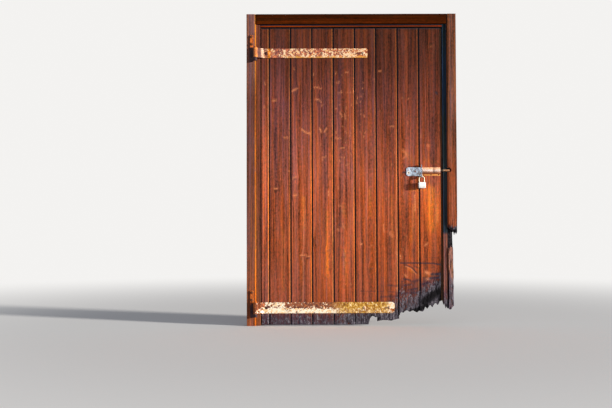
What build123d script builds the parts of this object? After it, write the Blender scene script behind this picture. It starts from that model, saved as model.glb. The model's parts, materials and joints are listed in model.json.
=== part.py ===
from build123d import *
import math
import os

os.makedirs("parts", exist_ok=True)

# Side-hung barn door leaf in its timber frame. Millimetres, +Z up, +X to the right seen from
# outside, -Y towards the outside. The origin is on the ground in the middle of the doorway.

# Frame timbers
frame_height = 2068.0
post_width = 64.0
post_depth = 90.0
head_height = 66.0
front_y = -26.0
arris_chamfer = 8.0
tenon_length = 42.0
tenon_height = 44.0
tenon_thickness = 24.0
tenon_clearance = 0.2

# Lining strips beside and above the leaf, and the stop laths behind it
lining_thickness = 28.0
head_lining_thickness = 20.0
leaf_setback = 13.0
stop_width = 24.0
stop_depth = 22.0
stop_clearance = 1.0

# Leaf: one narrow board, then full ones
narrow_cover = 50.0
board_cover = 142.0
full_board_count = 8
board_thickness = 20.0
board_gap = 2.0
vee_depth = 6.5
tongue_length = 8.0
tongue_thickness = 5.5
groove_clearance = 0.3
leaf_gap_left = 7.0
leaf_gap_right = 16.0
leaf_gap_top = 8.0
leaf_gap_bottom = 7.0

# Ledges and braces on the back of the leaf
ledge_height = 110.0
ledge_thickness = 22.0
ledge_end_gap = 5.0
bottom_ledge_z = 155.0
brace_width = 100.0
brace_run = 900.0
brace_foot_inset = 35.0

# Hook and strap hinges
pin_radius = 9.5
pin_clearance = 0.1
pin_stand_up = 7.0
pin_chamfer = 2.0
pin_from_post_edge = 3.5
plate_width = 22.0
plate_height = 178.0
plate_thickness = 6.0
plate_corner_cut = 4.0
plate_from_post_edge = 18.0
plate_foot = 27.0
plate_to_eye_gap = 1.5
arm_height = 22.0
arm_width = 24.0
eye_to_arm_gap = 0.3
strap_thickness = 6.0
crank_start = 33.0
crank_run = 20.0
bend_radius = 9.0
seam_width = 1.2
seam_angle = 52.0
top_strap_drop = 167.5
top_strap_height = 63.0
top_strap_length = 745.0
top_strap_end_radius = 6.0
bottom_strap_z = 118.5
bottom_strap_height = 74.0
bottom_strap_length = 916.0
bottom_strap_end_radius = 22.0

# Coach bolts of the straps and coach screws of the hook plates
bolt_head_radius = 10.0
bolt_head_height = 4.5
bolt_head_taper = 38.0
bolt_head_sides = 16
bolt_neck = 8.0
bolt_shank_radius = 4.0
bolt_hole_clearance = 0.2
bolt_end = 11.0
screw_length = 55.0
top_bolt_reaches = [70.5, 446.0, 716.0]
bottom_bolt_reaches = [70.5, 446.0, 716.0, 881.0]
screw_drops = [12.0, 62.0]

# Sliding bolt
rod_radius = 7.0
rod_z = 1022.0
rod_tip_chamfer = 1.5
rod_into_post = 14.5
rod_clearance = 0.4
guide_plate_thickness = 2.5
guide_plate_length = 123.0
guide_plate_inset = 1.5
guide_plate_below = 34.0
guide_plate_above = 21.0
guide_plate_gap = 0.5
keeper_thickness = 3.0
keeper_flange = 9.0
keeper_flange_thickness = 2.0
keeper_lengths = [70.0, 38.0]
keeper_spacing = 8.0
keeper_end_inset = 4.0

# Tail of the bolt: a flat plate that turns outwards into the padlock lug
tail_thickness = 3.0
tail_clearance = 0.4
tail_length = 101.0
tail_below = 36.0
tail_above = 21.0
tail_corner_radius = 14.0
lug_gap = 1.5
lug_reach = 33.0
lug_foot = 49.0
lug_top = 40.0
lug_shoulder = 27.0
lug_edge_radius = 6.0
lug_hole_radius = 6.0
lug_hole_margin = 5.3
lug_hole_reach = 20.0
tail_hole_radius = 3.2
tail_holes = [(16.0, -15.0), (28.0, 9.5), (59.0, -6.5)]

# Padlock
lock_width = 50.0
lock_height = 39.0
lock_thickness = 18.0
lock_corner_radius = 5.0
lock_twist = 17.0
lock_drop = 39.0
wire_diameter = 7.5
wire_sides = 10
shackle_width = 44.0
leg_in_body = 12.0
leg_clearance = 0.2
crown_below_hole_centre = 1.3
cylinder_radius = 7.0
cylinder_depth = 16.0
cylinder_clearance = 0.1

# Places that several pieces share
back_y = front_y + post_depth
leaf_width = narrow_cover + full_board_count * board_cover
doorway_x = (leaf_gap_left + leaf_width + leaf_gap_right) / 2
post_inner_x = doorway_x + lining_thickness
plate_x = -post_inner_x - plate_from_post_edge - plate_width / 2
frame_width = 2 * (post_inner_x + post_width)
head_bottom_z = frame_height - head_height
leaf_y = front_y + leaf_setback
leaf_back_y = leaf_y + board_thickness
leaf_left_x = -doorway_x + leaf_gap_left
leaf_right_x = leaf_left_x + leaf_width
lining_bottom_z = head_bottom_z - head_lining_thickness
leaf_top_z = lining_bottom_z - leaf_gap_top
top_strap_z = leaf_top_z - top_strap_drop
stop_y = leaf_back_y + stop_clearance
ledge_end_x = doorway_x - stop_width - ledge_end_gap
ledge_back_y = leaf_back_y + ledge_thickness
middle_ledge_z = (top_strap_z + bottom_ledge_z) / 2
eye_radius = pin_radius + pin_clearance + strap_thickness
pin_x = -post_inner_x - pin_from_post_edge
pin_y = front_y - plate_thickness - plate_to_eye_gap - eye_radius
lock_x = leaf_right_x - guide_plate_inset - guide_plate_length - lug_gap - tail_thickness / 2
lug_hole_z = rod_z - lug_foot + lug_hole_margin + lug_hole_radius


def facing(depth_y):
    """Upright plane at a depth, seen from outside: local x is X and local y is Z."""
    return Plane.XZ.offset(-depth_y)


def timber(left_x, right_x, bottom_z, top_z, near_y, far_y):
    """A straight squared timber between six planes."""
    with BuildPart() as piece:
        with BuildSketch(facing(near_y)):
            with Locations(((left_x + right_x) / 2, (bottom_z + top_z) / 2)):
                Rectangle(right_x - left_x, top_z - bottom_z)
        extrude(amount=near_y - far_y)
    return piece.part


def round_bars(places, radius, near_y, far_y):
    """Straight round bars along Y, used as shanks and as the holes for them."""
    with BuildPart() as bars:
        with BuildSketch(facing(near_y)):
            with Locations(*places):
                Circle(radius)
        extrude(amount=near_y - far_y)
    return bars.part


# Where the fasteners go
top_bolt_places = [(pin_x + reach, top_strap_z) for reach in top_bolt_reaches]
bottom_bolt_places = [(pin_x + reach, bottom_strap_z) for reach in bottom_bolt_reaches]
plate_bottoms = [
    top_strap_z - top_strap_height / 2 - plate_foot,
    bottom_strap_z - bottom_strap_height / 2 - plate_foot,
]
screw_places = [
    (plate_x, bottom_z + plate_height - drop)
    for bottom_z in plate_bottoms
    for drop in screw_drops
]

strap_bolt_holes = round_bars(
    top_bolt_places + bottom_bolt_places,
    bolt_shank_radius + bolt_hole_clearance,
    leaf_y - strap_thickness,
    ledge_back_y,
)
screw_holes = round_bars(
    screw_places,
    bolt_shank_radius + bolt_hole_clearance,
    front_y - plate_thickness,
    front_y + screw_length + bolt_hole_clearance,
)

# Mortise and tenon between the head and the posts
tenon_y = (front_y + back_y) / 2
tenon_z = frame_height - head_height / 2


def tenons(clearance):
    """The two tenons of the head, or the mortises for them when given a clearance."""
    with BuildPart() as pair:
        with Locations((0, tenon_y, tenon_z)):
            Box(
                2 * (post_inner_x + tenon_length + clearance),
                tenon_thickness + 2 * clearance,
                tenon_height + 2 * clearance,
            )
    return pair.part


# Left post
with BuildPart() as left_post:
    add(timber(-frame_width / 2, -post_inner_x, 0, frame_height, front_y, back_y))
    chamfer(
        left_post.edges().filter_by(Axis.Z).group_by(Axis.Y)[0].sort_by(Axis.X)[-1],
        length=arris_chamfer,
    )
    add(tenons(tenon_clearance), mode=Mode.SUBTRACT)
    add(screw_holes, mode=Mode.SUBTRACT)
left_post.part.label = "left_post"
export_step(left_post.part, "parts/left_post.step")

# Right post: sound above, rotted right through at the foot. What is left there is a thin
# upright remnant that a dark core still joins to the sound timber.
rot_end = [
    (0.0, 642.0),
    (7.0, 628.0),
    (13.0, 650.0),
    (21.0, 617.0),
    (29.0, 627.0),
    (38.0, 598.0),
    (46.0, 612.0),
    (55.0, 587.0),
    (64.0, 604.0),
]
remnant_outline = [
    (4.0, 452.0),
    (7.0, 522.0),
    (13.0, 496.0),
    (19.0, 538.0),
    (26.0, 508.0),
    (33.0, 532.0),
    (38.0, 470.0),
    (36.0, 392.0),
    (40.0, 318.0),
    (36.0, 226.0),
    (39.0, 101.0),
    (31.0, 127.0),
    (22.0, 93.0),
    (12.0, 119.0),
    (5.0, 88.0),
    (7.0, 260.0),
]
remnant_setback = 6.0
core_depth = 45.0
core_inner = 8.0
core_outer = 38.0
core_bottom_z = 480.0
core_top_z = 700.0

# Recess that the bolt's tip lies in, broken open to the outside
recess_outline = [
    (-1.0, -12.0),
    (18.0, -10.0),
    (27.0, -3.0),
    (25.0, 11.0),
    (15.0, 20.0),
    (-1.0, 17.0),
]
recess_depth = 17.0

with BuildPart() as right_post:
    with BuildSketch(facing(front_y)):
        with BuildLine():
            Polyline(
                (post_inner_x, frame_height),
                *[(post_inner_x + across * post_width / rot_end[-1][0], height)
                  for across, height in rot_end],
                (frame_width / 2, frame_height),
                close=True,
            )
        make_face()
    extrude(amount=-post_depth)
    chamfer(
        right_post.edges().filter_by(Axis.Z).group_by(Axis.Y)[0].sort_by(Axis.X)[0],
        length=arris_chamfer,
    )
    with BuildSketch(facing(front_y + remnant_setback)):
        with BuildLine():
            Polyline(
                *[(post_inner_x + across, height) for across, height in remnant_outline],
                close=True,
            )
        make_face()
    extrude(amount=remnant_setback - post_depth)
    add(timber(
        post_inner_x + core_inner,
        post_inner_x + core_outer,
        core_bottom_z,
        core_top_z,
        back_y - core_depth,
        back_y,
    ))
    with BuildSketch(facing(front_y)):
        with BuildLine():
            Polyline(
                *[(post_inner_x + across, rod_z + up) for across, up in recess_outline],
                close=True,
            )
        make_face()
    extrude(amount=-recess_depth, mode=Mode.SUBTRACT)
    add(tenons(tenon_clearance), mode=Mode.SUBTRACT)
right_post.part.label = "right_post"
export_step(right_post.part, "parts/right_post.step")

# Head, tenoned into both posts
with BuildPart() as head:
    add(timber(-post_inner_x, post_inner_x, head_bottom_z, frame_height, front_y, back_y))
    add(tenons(0))
head.part.label = "head"
export_step(head.part, "parts/head.step")

# Lining strips
lining_y = front_y + leaf_setback
with BuildPart() as left_lining:
    add(timber(-post_inner_x, -doorway_x, 0, head_bottom_z, lining_y, back_y))
left_lining.part.label = "left_lining"
export_step(left_lining.part, "parts/left_lining.step")

lining_end = [
    (0.0, 148.0),
    (8.0, 118.0),
    (15.0, 131.0),
    (22.0, 97.0),
    (28.0, 112.0),
]
with BuildPart() as right_lining:
    with BuildSketch(facing(lining_y)):
        with BuildLine():
            Polyline(
                (doorway_x, head_bottom_z),
                *[(doorway_x + across * lining_thickness / lining_end[-1][0], height)
                  for across, height in lining_end],
                (post_inner_x, head_bottom_z),
                close=True,
            )
        make_face()
    extrude(amount=lining_y - back_y)
right_lining.part.label = "right_lining"
export_step(right_lining.part, "parts/right_lining.step")

with BuildPart() as head_lining:
    add(timber(-doorway_x, doorway_x, lining_bottom_z, head_bottom_z, lining_y, back_y))
head_lining.part.label = "head_lining"
export_step(head_lining.part, "parts/head_lining.step")

# Stop laths that the leaf closes against
stop_inner_x = doorway_x - stop_width
stop_back_y = stop_y + stop_depth
right_stop_bottom_z = 160.0
with BuildPart() as left_stop:
    add(timber(-doorway_x, -stop_inner_x, 0, lining_bottom_z, stop_y, stop_back_y))
left_stop.part.label = "left_stop"
export_step(left_stop.part, "parts/left_stop.step")

with BuildPart() as right_stop:
    add(timber(
        stop_inner_x,
        doorway_x,
        right_stop_bottom_z,
        lining_bottom_z,
        stop_y,
        stop_back_y,
    ))
right_stop.part.label = "right_stop"
export_step(right_stop.part, "parts/right_stop.step")

with BuildPart() as head_stop:
    add(timber(
        -stop_inner_x,
        stop_inner_x,
        lining_bottom_z - stop_width,
        lining_bottom_z,
        stop_y,
        stop_back_y,
    ))
head_stop.part.label = "head_stop"
export_step(head_stop.part, "parts/head_stop.step")


def hook(plate_bottom_z, strap_z, strap_height):
    """Forged hook: a plate on the post, an arm under the eye and the upright pin."""
    arm_top_z = strap_z - strap_height / 2 - eye_to_arm_gap
    pin_top_z = strap_z + strap_height / 2 + pin_stand_up
    plate_front_y = front_y - plate_thickness
    with BuildPart() as forged:
        with BuildSketch(facing(front_y)) as outline:
            with Locations((plate_x, plate_bottom_z + plate_height / 2)):
                Rectangle(plate_width, plate_height)
            chamfer(outline.vertices(), length=plate_corner_cut)
        extrude(amount=plate_thickness)
        with BuildSketch(Plane.XY.offset(arm_top_z - arm_height)):
            with Locations((pin_x, pin_y)):
                Circle(arm_width / 2)
            with BuildLine():
                Polyline(
                    (plate_x - plate_width / 2, plate_front_y),
                    (plate_x + plate_width / 2, plate_front_y),
                    (pin_x + arm_width / 2, pin_y),
                    (pin_x - arm_width / 2, pin_y),
                    close=True,
                )
            make_face()
        extrude(amount=arm_height)
        with BuildSketch(Plane.XY.offset(arm_top_z)):
            with Locations((pin_x, pin_y)):
                Circle(pin_radius)
        extrude(amount=pin_top_z - arm_top_z)
        chamfer(
            forged.edges().filter_by_position(Axis.Z, pin_top_z, pin_top_z),
            length=pin_chamfer,
        )
        add(screw_holes, mode=Mode.SUBTRACT)
    return forged.part


with BuildPart() as top_hook:
    add(hook(plate_bottoms[0], top_strap_z, top_strap_height))
top_hook.part.label = "top_hook"
export_step(top_hook.part, "parts/top_hook.step")

with BuildPart() as bottom_hook:
    add(hook(plate_bottoms[1], bottom_strap_z, bottom_strap_height))
bottom_hook.part.label = "bottom_hook"
export_step(bottom_hook.part, "parts/bottom_hook.step")


def cup_heads(places, face_y):
    """Cup-shaped bolt heads on an upright face."""
    with BuildPart() as heads:
        with BuildSketch(facing(face_y)):
            with Locations(*places):
                RegularPolygon(bolt_head_radius, bolt_head_sides)
        extrude(amount=bolt_head_height, taper=bolt_head_taper)
    return heads.part


with BuildPart() as hook_screws:
    add(cup_heads(screw_places, front_y - plate_thickness))
    add(round_bars(
        screw_places,
        bolt_shank_radius,
        front_y - plate_thickness,
        front_y + screw_length,
    ))
hook_screws.part.label = "hook_screws"
export_step(hook_screws.part, "parts/hook_screws.step")

# Broken and rotted lower edge of the leaf: distance in from the leaf's right edge, and height
break_line = [
    (483.0, -1.0),
    (478.0, 24.0),
    (470.0, 43.0),
    (457.0, 58.0),
    (438.0, 51.0),
    (426.0, 47.0),
    (424.0, 27.0),
    (378.0, 32.0),
    (330.0, 29.0),
    (285.0, 39.0),
    (282.0, 60.0),
    (268.0, 85.0),
    (248.0, 78.0),
    (229.0, 96.0),
    (206.0, 83.0),
    (187.0, 95.0),
    (164.0, 81.0),
    (143.0, 88.0),
    (120.0, 84.0),
    (106.0, 115.0),
    (92.0, 102.0),
    (74.0, 131.0),
    (60.0, 112.0),
    (39.0, 146.0),
    (22.0, 127.0),
    (8.0, 158.0),
    (-1.0, 150.0),
]
with BuildPart() as rotted_away:
    with BuildSketch(facing(leaf_y - strap_thickness)):
        with BuildLine():
            Polyline(
                *[(leaf_right_x - inward, height) for inward, height in break_line],
                (leaf_right_x + 1, -1),
                close=True,
            )
        make_face()
    extrude(amount=-(strap_thickness + board_thickness + ledge_thickness + stop_clearance))


def board(left_x, cover, first, last):
    """One tongue-and-groove board; the outer edges of the leaf are square."""
    near_x = left_x if first else left_x + board_gap / 2
    far_x = left_x + cover if last else left_x + cover - board_gap / 2
    middle_y = leaf_y + board_thickness / 2
    groove_half = tongue_thickness / 2 + groove_clearance
    groove_depth = tongue_length - board_gap + groove_clearance
    with BuildPart() as plank:
        with BuildSketch(Plane.XY.offset(leaf_gap_bottom)):
            with Locations(((near_x + far_x) / 2, middle_y)):
                Rectangle(far_x - near_x, board_thickness)
            if not last:
                with Locations((far_x + tongue_length / 2, middle_y)):
                    Rectangle(tongue_length, tongue_thickness)
                with BuildLine():
                    Polyline(
                        (far_x - vee_depth, leaf_y),
                        (far_x, leaf_y),
                        (far_x, leaf_y + vee_depth),
                        close=True,
                    )
                make_face(mode=Mode.SUBTRACT)
            if not first:
                with Locations((near_x + groove_depth / 2, middle_y)):
                    Rectangle(groove_depth, 2 * groove_half, mode=Mode.SUBTRACT)
                with BuildLine():
                    Polyline(
                        (near_x + vee_depth, leaf_y),
                        (near_x, leaf_y),
                        (near_x, leaf_y + vee_depth),
                        close=True,
                    )
                make_face(mode=Mode.SUBTRACT)
        extrude(amount=leaf_top_z - leaf_gap_bottom)
        add(strap_bolt_holes, mode=Mode.SUBTRACT)
        add(rotted_away.part, mode=Mode.SUBTRACT)
    return plank.part


# Boards, numbered from the hinge side
board_left_x = leaf_left_x
for number in range(1, full_board_count + 2):
    cover = narrow_cover if number == 1 else board_cover
    with BuildPart() as plank:
        add(board(board_left_x, cover, number == 1, number == full_board_count + 1))
    plank.part.label = f"board_{number}"
    export_step(plank.part, f"parts/board_{number}.step")
    board_left_x += cover

# Ledges across the back
with BuildPart() as top_ledge:
    add(timber(
        -ledge_end_x,
        ledge_end_x,
        top_strap_z - ledge_height / 2,
        top_strap_z + ledge_height / 2,
        leaf_back_y,
        ledge_back_y,
    ))
    add(strap_bolt_holes, mode=Mode.SUBTRACT)
top_ledge.part.label = "top_ledge"
export_step(top_ledge.part, "parts/top_ledge.step")

with BuildPart() as middle_ledge:
    add(timber(
        -ledge_end_x,
        ledge_end_x,
        middle_ledge_z - ledge_height / 2,
        middle_ledge_z + ledge_height / 2,
        leaf_back_y,
        ledge_back_y,
    ))
middle_ledge.part.label = "middle_ledge"
export_step(middle_ledge.part, "parts/middle_ledge.step")

ledge_rot_rise = 9.0
with BuildPart() as bottom_ledge:
    add(timber(
        -ledge_end_x,
        ledge_end_x,
        bottom_ledge_z - ledge_height / 2,
        bottom_ledge_z + ledge_height / 2,
        leaf_back_y,
        ledge_back_y,
    ))
    add(strap_bolt_holes, mode=Mode.SUBTRACT)
    add(rotted_away.part.moved(Location((0, 0, ledge_rot_rise))), mode=Mode.SUBTRACT)
bottom_ledge.part.label = "bottom_ledge"
export_step(bottom_ledge.part, "parts/bottom_ledge.step")


def brace(foot_z, top_z):
    """Diagonal brace that rises away from the hinges, cut level at both ledges."""
    slope = math.atan2(top_z - foot_z, brace_run)
    level_width = brace_width / math.sin(slope)
    foot_x = -ledge_end_x + brace_foot_inset
    with BuildPart() as diagonal:
        with BuildSketch(facing(leaf_back_y)):
            with BuildLine():
                Polyline(
                    (foot_x, foot_z),
                    (foot_x + level_width, foot_z),
                    (foot_x + brace_run + level_width, top_z),
                    (foot_x + brace_run, top_z),
                    close=True,
                )
            make_face()
        extrude(amount=-ledge_thickness)
    return diagonal.part


with BuildPart() as lower_brace:
    add(brace(bottom_ledge_z + ledge_height / 2, middle_ledge_z - ledge_height / 2))
lower_brace.part.label = "lower_brace"
export_step(lower_brace.part, "parts/lower_brace.step")

with BuildPart() as upper_brace:
    add(brace(middle_ledge_z + ledge_height / 2, top_strap_z - ledge_height / 2))
upper_brace.part.label = "upper_brace"
export_step(upper_brace.part, "parts/upper_brace.step")


def strap(middle_z, height, length, end_radius, bolt_places):
    """Strap with a rolled eye: flat along the leaf, then cranked out to the pin."""
    eye_back_y = pin_y + eye_radius
    bend_x = pin_x + crank_start
    end_x = pin_x + length
    with BuildPart() as band:
        with BuildSketch(Plane.XY.offset(middle_z - height / 2)) as section:
            with BuildLine():
                Polyline(
                    (pin_x, eye_back_y),
                    (bend_x, eye_back_y),
                    (bend_x + crank_run, leaf_y),
                    (end_x, leaf_y),
                    (end_x, leaf_y - strap_thickness),
                    (bend_x + crank_run + strap_thickness / 2, leaf_y - strap_thickness),
                    (bend_x + strap_thickness / 2, eye_back_y - strap_thickness),
                    (pin_x, eye_back_y - strap_thickness),
                    close=True,
                )
            make_face()
            fillet(
                section.vertices().filter_by_position(
                    Axis.X, bend_x - 1, bend_x + crank_run + strap_thickness
                ),
                radius=bend_radius,
            )
            with Locations((pin_x, pin_y)):
                Circle(eye_radius)
                Circle(pin_radius + pin_clearance, mode=Mode.SUBTRACT)
            with Locations(Location((pin_x, pin_y, 0), (0, 0, seam_angle))):
                with Locations((eye_radius - strap_thickness / 2, 0)):
                    Rectangle(2 * strap_thickness, seam_width, mode=Mode.SUBTRACT)
        extrude(amount=height)
        fillet(band.edges().filter_by(Axis.Y).group_by(Axis.X)[-1], radius=end_radius)
        with BuildSketch(facing(leaf_y - strap_thickness)):
            with Locations(*bolt_places):
                Rectangle(
                    bolt_neck + 2 * bolt_hole_clearance,
                    bolt_neck + 2 * bolt_hole_clearance,
                )
        extrude(amount=-strap_thickness, mode=Mode.SUBTRACT)
    return band.part


with BuildPart() as top_strap:
    add(strap(
        top_strap_z,
        top_strap_height,
        top_strap_length,
        top_strap_end_radius,
        top_bolt_places,
    ))
top_strap.part.label = "top_strap"
export_step(top_strap.part, "parts/top_strap.step")

with BuildPart() as bottom_strap:
    add(strap(
        bottom_strap_z,
        bottom_strap_height,
        bottom_strap_length,
        bottom_strap_end_radius,
        bottom_bolt_places,
    ))
bottom_strap.part.label = "bottom_strap"
export_step(bottom_strap.part, "parts/bottom_strap.step")


def coach_bolts(places):
    """Cup head, square neck in the strap and a shank through board and ledge."""
    with BuildPart() as bolts:
        add(cup_heads(places, leaf_y - strap_thickness))
        with BuildSketch(facing(leaf_y - strap_thickness)):
            with Locations(*places):
                Rectangle(bolt_neck, bolt_neck)
        extrude(amount=-strap_thickness)
        add(round_bars(
            places,
            bolt_shank_radius,
            leaf_y - strap_thickness,
            ledge_back_y + bolt_end,
        ))
    return bolts.part


with BuildPart() as top_strap_bolts:
    add(coach_bolts(top_bolt_places))
top_strap_bolts.part.label = "top_strap_bolts"
export_step(top_strap_bolts.part, "parts/top_strap_bolts.step")

with BuildPart() as bottom_strap_bolts:
    add(coach_bolts(bottom_bolt_places))
bottom_strap_bolts.part.label = "bottom_strap_bolts"
export_step(bottom_strap_bolts.part, "parts/bottom_strap_bolts.step")

# Guide plate of the bolt, screwed to the leaf
guide_right_x = leaf_right_x - guide_plate_inset
guide_left_x = guide_right_x - guide_plate_length
with BuildPart() as bolt_plate:
    add(timber(
        guide_left_x,
        guide_right_x,
        rod_z - guide_plate_below,
        rod_z + guide_plate_above,
        leaf_y - guide_plate_thickness,
        leaf_y,
    ))
bolt_plate.part.label = "bolt_plate"
export_step(bolt_plate.part, "parts/bolt_plate.step")

# Half-round keepers that hold the rod on the plate
guide_front_y = leaf_y - guide_plate_thickness
rod_y = guide_front_y - guide_plate_gap - rod_radius
keeper_bore = rod_radius + rod_clearance
keeper_outer = keeper_bore + keeper_thickness
keeper_left_x = guide_left_x + keeper_end_inset
with BuildPart() as bolt_keepers:
    for keeper_length in keeper_lengths:
        with BuildSketch(Plane.YZ.offset(keeper_left_x)):
            with Locations((rod_y, rod_z)):
                Circle(keeper_outer)
            with Locations(((rod_y + guide_front_y) / 2, rod_z)):
                Rectangle(guide_front_y - rod_y, 2 * keeper_outer)
            with Locations((guide_front_y - keeper_flange_thickness / 2, rod_z)):
                Rectangle(keeper_flange_thickness, 2 * (keeper_outer + keeper_flange))
            with Locations((guide_front_y + keeper_outer / 2, rod_z)):
                Rectangle(keeper_outer, 2 * keeper_outer, mode=Mode.SUBTRACT)
            with Locations((rod_y, rod_z)):
                Circle(keeper_bore, mode=Mode.SUBTRACT)
            with Locations(((rod_y + guide_front_y) / 2, rod_z)):
                Rectangle(guide_front_y - rod_y, 2 * keeper_bore, mode=Mode.SUBTRACT)
        extrude(amount=keeper_length)
        keeper_left_x += keeper_length + keeper_spacing
bolt_keepers.part.label = "bolt_keepers"
export_step(bolt_keepers.part, "parts/bolt_keepers.step")

# Rod, welded to the lug at its inner end
rod_left_x = lock_x + tail_thickness / 2
rod_right_x = post_inner_x + rod_into_post
with BuildPart() as bolt_rod:
    with BuildSketch(Plane.YZ.offset(rod_left_x)):
        with Locations((rod_y, rod_z)):
            Circle(rod_radius)
    extrude(amount=rod_right_x - rod_left_x)
    chamfer(bolt_rod.edges().group_by(Axis.X)[-1], length=rod_tip_chamfer)
bolt_rod.part.label = "bolt_rod"
export_step(bolt_rod.part, "parts/bolt_rod.step")

# Tail plate and lug, bent from one piece
tail_back_y = leaf_y - tail_clearance
tail_right_x = lock_x + tail_thickness / 2
tail_left_x = tail_right_x - tail_length
tail_hole_places = [(tail_left_x + inset, rod_z + up) for inset, up in tail_holes]
with BuildPart() as bolt_tail:
    add(timber(
        tail_left_x,
        tail_right_x,
        rod_z - tail_below,
        rod_z + tail_above,
        tail_back_y - tail_thickness,
        tail_back_y,
    ))
    fillet(
        bolt_tail.edges().filter_by(Axis.Y).group_by(Axis.X)[0],
        radius=tail_corner_radius,
    )
    with BuildSketch(Plane.YZ.offset(lock_x - tail_thickness / 2)) as lug:
        with BuildLine():
            Polyline(
                (tail_back_y, rod_z - tail_below),
                (tail_back_y, rod_z + tail_above),
                (tail_back_y - lug_reach / 5, rod_z + lug_top),
                (tail_back_y - lug_reach / 2, rod_z + lug_top),
                (tail_back_y - lug_reach, rod_z + lug_top - lug_shoulder),
                (tail_back_y - lug_reach, rod_z - lug_foot),
                (tail_back_y - lug_reach / 3, rod_z - lug_foot),
                close=True,
            )
        make_face()
        fillet(lug.vertices().group_by(Axis.X)[0], radius=lug_edge_radius)
        with Locations((leaf_y - lug_hole_reach, lug_hole_z)):
            Circle(lug_hole_radius, mode=Mode.SUBTRACT)
    extrude(amount=tail_thickness)
    add(
        round_bars(
            tail_hole_places,
            tail_hole_radius,
            tail_back_y - tail_thickness,
            tail_back_y,
        ),
        mode=Mode.SUBTRACT,
    )
bolt_tail.part.label = "bolt_tail"
export_step(bolt_tail.part, "parts/bolt_tail.step")

# Padlock plane: local x along the body's width, local y up, origin on the shackle's crown
twist = math.radians(lock_twist)
crown = Vector(lock_x, leaf_y - lug_hole_reach, lug_hole_z - crown_below_hole_centre)
lock_plane = Plane(
    origin=crown,
    x_dir=(math.cos(twist), math.sin(twist), 0),
    z_dir=(math.sin(twist), -math.cos(twist), 0),
)
leg_reach = (shackle_width - wire_diameter) / 2
leg_end = lock_drop + leg_in_body
bend_centre = crown - Vector(0, 0, leg_reach)
leg_plane = Plane(origin=bend_centre, x_dir=lock_plane.x_dir, z_dir=(0, 0, -1))
with BuildPart() as shackle:
    with BuildSketch(leg_plane):
        with Locations((leg_reach, 0)):
            RegularPolygon(wire_diameter / 2, wire_sides)
    revolve(axis=Axis(bend_centre, lock_plane.z_dir), revolution_arc=180)
    with BuildSketch(leg_plane):
        with Locations((-leg_reach, 0), (leg_reach, 0)):
            RegularPolygon(wire_diameter / 2, wire_sides)
    extrude(amount=leg_end - leg_reach)
shackle.part.label = "shackle"
export_step(shackle.part, "parts/shackle.step")

lock_underside = Plane(
    origin=crown - Vector(0, 0, lock_drop + lock_height),
    x_dir=lock_plane.x_dir,
    z_dir=(0, 0, 1),
)
with BuildPart() as lock_body:
    with BuildSketch(lock_plane.offset(-lock_thickness / 2)):
        with Locations((0, -lock_drop - lock_height / 2)):
            RectangleRounded(lock_width, lock_height, lock_corner_radius)
    extrude(amount=lock_thickness)
    with BuildSketch(lock_underside.offset(lock_height - leg_in_body - leg_clearance)):
        with Locations((-leg_reach, 0), (leg_reach, 0)):
            RegularPolygon(wire_diameter / 2 + leg_clearance, wire_sides)
    extrude(amount=leg_in_body + leg_clearance, mode=Mode.SUBTRACT)
    with BuildSketch(lock_underside):
        Circle(cylinder_radius + cylinder_clearance)
    extrude(amount=cylinder_depth + cylinder_clearance, mode=Mode.SUBTRACT)
lock_body.part.label = "lock_body"
export_step(lock_body.part, "parts/lock_body.step")

with BuildPart() as lock_cylinder:
    with BuildSketch(lock_underside):
        Circle(cylinder_radius)
    extrude(amount=cylinder_depth)
lock_cylinder.part.label = "lock_cylinder"
export_step(lock_cylinder.part, "parts/lock_cylinder.step")
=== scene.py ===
import json
import math

import bmesh
import bpy
import numpy as np
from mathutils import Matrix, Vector, geometry
from mathutils.bvhtree import BVHTree

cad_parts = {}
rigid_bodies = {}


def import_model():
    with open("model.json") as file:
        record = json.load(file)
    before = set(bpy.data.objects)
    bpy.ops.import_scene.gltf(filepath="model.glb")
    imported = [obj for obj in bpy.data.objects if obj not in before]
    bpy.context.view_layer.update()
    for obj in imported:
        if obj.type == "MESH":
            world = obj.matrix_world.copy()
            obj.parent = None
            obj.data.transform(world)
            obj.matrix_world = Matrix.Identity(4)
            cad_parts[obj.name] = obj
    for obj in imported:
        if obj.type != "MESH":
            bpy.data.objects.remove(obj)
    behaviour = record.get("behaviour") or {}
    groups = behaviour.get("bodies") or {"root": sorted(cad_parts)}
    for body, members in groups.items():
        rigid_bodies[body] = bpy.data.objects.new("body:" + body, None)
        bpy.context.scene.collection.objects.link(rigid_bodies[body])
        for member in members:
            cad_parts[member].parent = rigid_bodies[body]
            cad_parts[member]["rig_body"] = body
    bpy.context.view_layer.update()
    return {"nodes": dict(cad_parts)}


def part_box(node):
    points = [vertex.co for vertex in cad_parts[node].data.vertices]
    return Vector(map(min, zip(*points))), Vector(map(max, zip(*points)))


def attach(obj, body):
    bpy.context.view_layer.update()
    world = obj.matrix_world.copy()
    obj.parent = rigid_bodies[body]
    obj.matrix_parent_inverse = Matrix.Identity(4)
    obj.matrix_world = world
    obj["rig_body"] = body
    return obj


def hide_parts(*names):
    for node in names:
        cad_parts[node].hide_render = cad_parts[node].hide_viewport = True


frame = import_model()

nodes = frame["nodes"]
scene = bpy.context.scene

# Camera: standing on the ground in front of the leaf, a little left of its middle
camera_data = bpy.data.cameras.new("camera")
camera_data.lens = 50
camera_data.sensor_width = 36
camera = bpy.data.objects.new("camera", camera_data)
camera.location = (-0.304, -5.64, 0.626)
camera.rotation_euler = (math.radians(91.8), math.radians(0.18), 0)
scene.collection.objects.link(camera)
scene.camera = camera
scene.view_settings.view_transform = "Standard"


# Value noise over points, the same on every run

LATTICE = np.random.default_rng(11).uniform(-1, 1, 8192)


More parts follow.
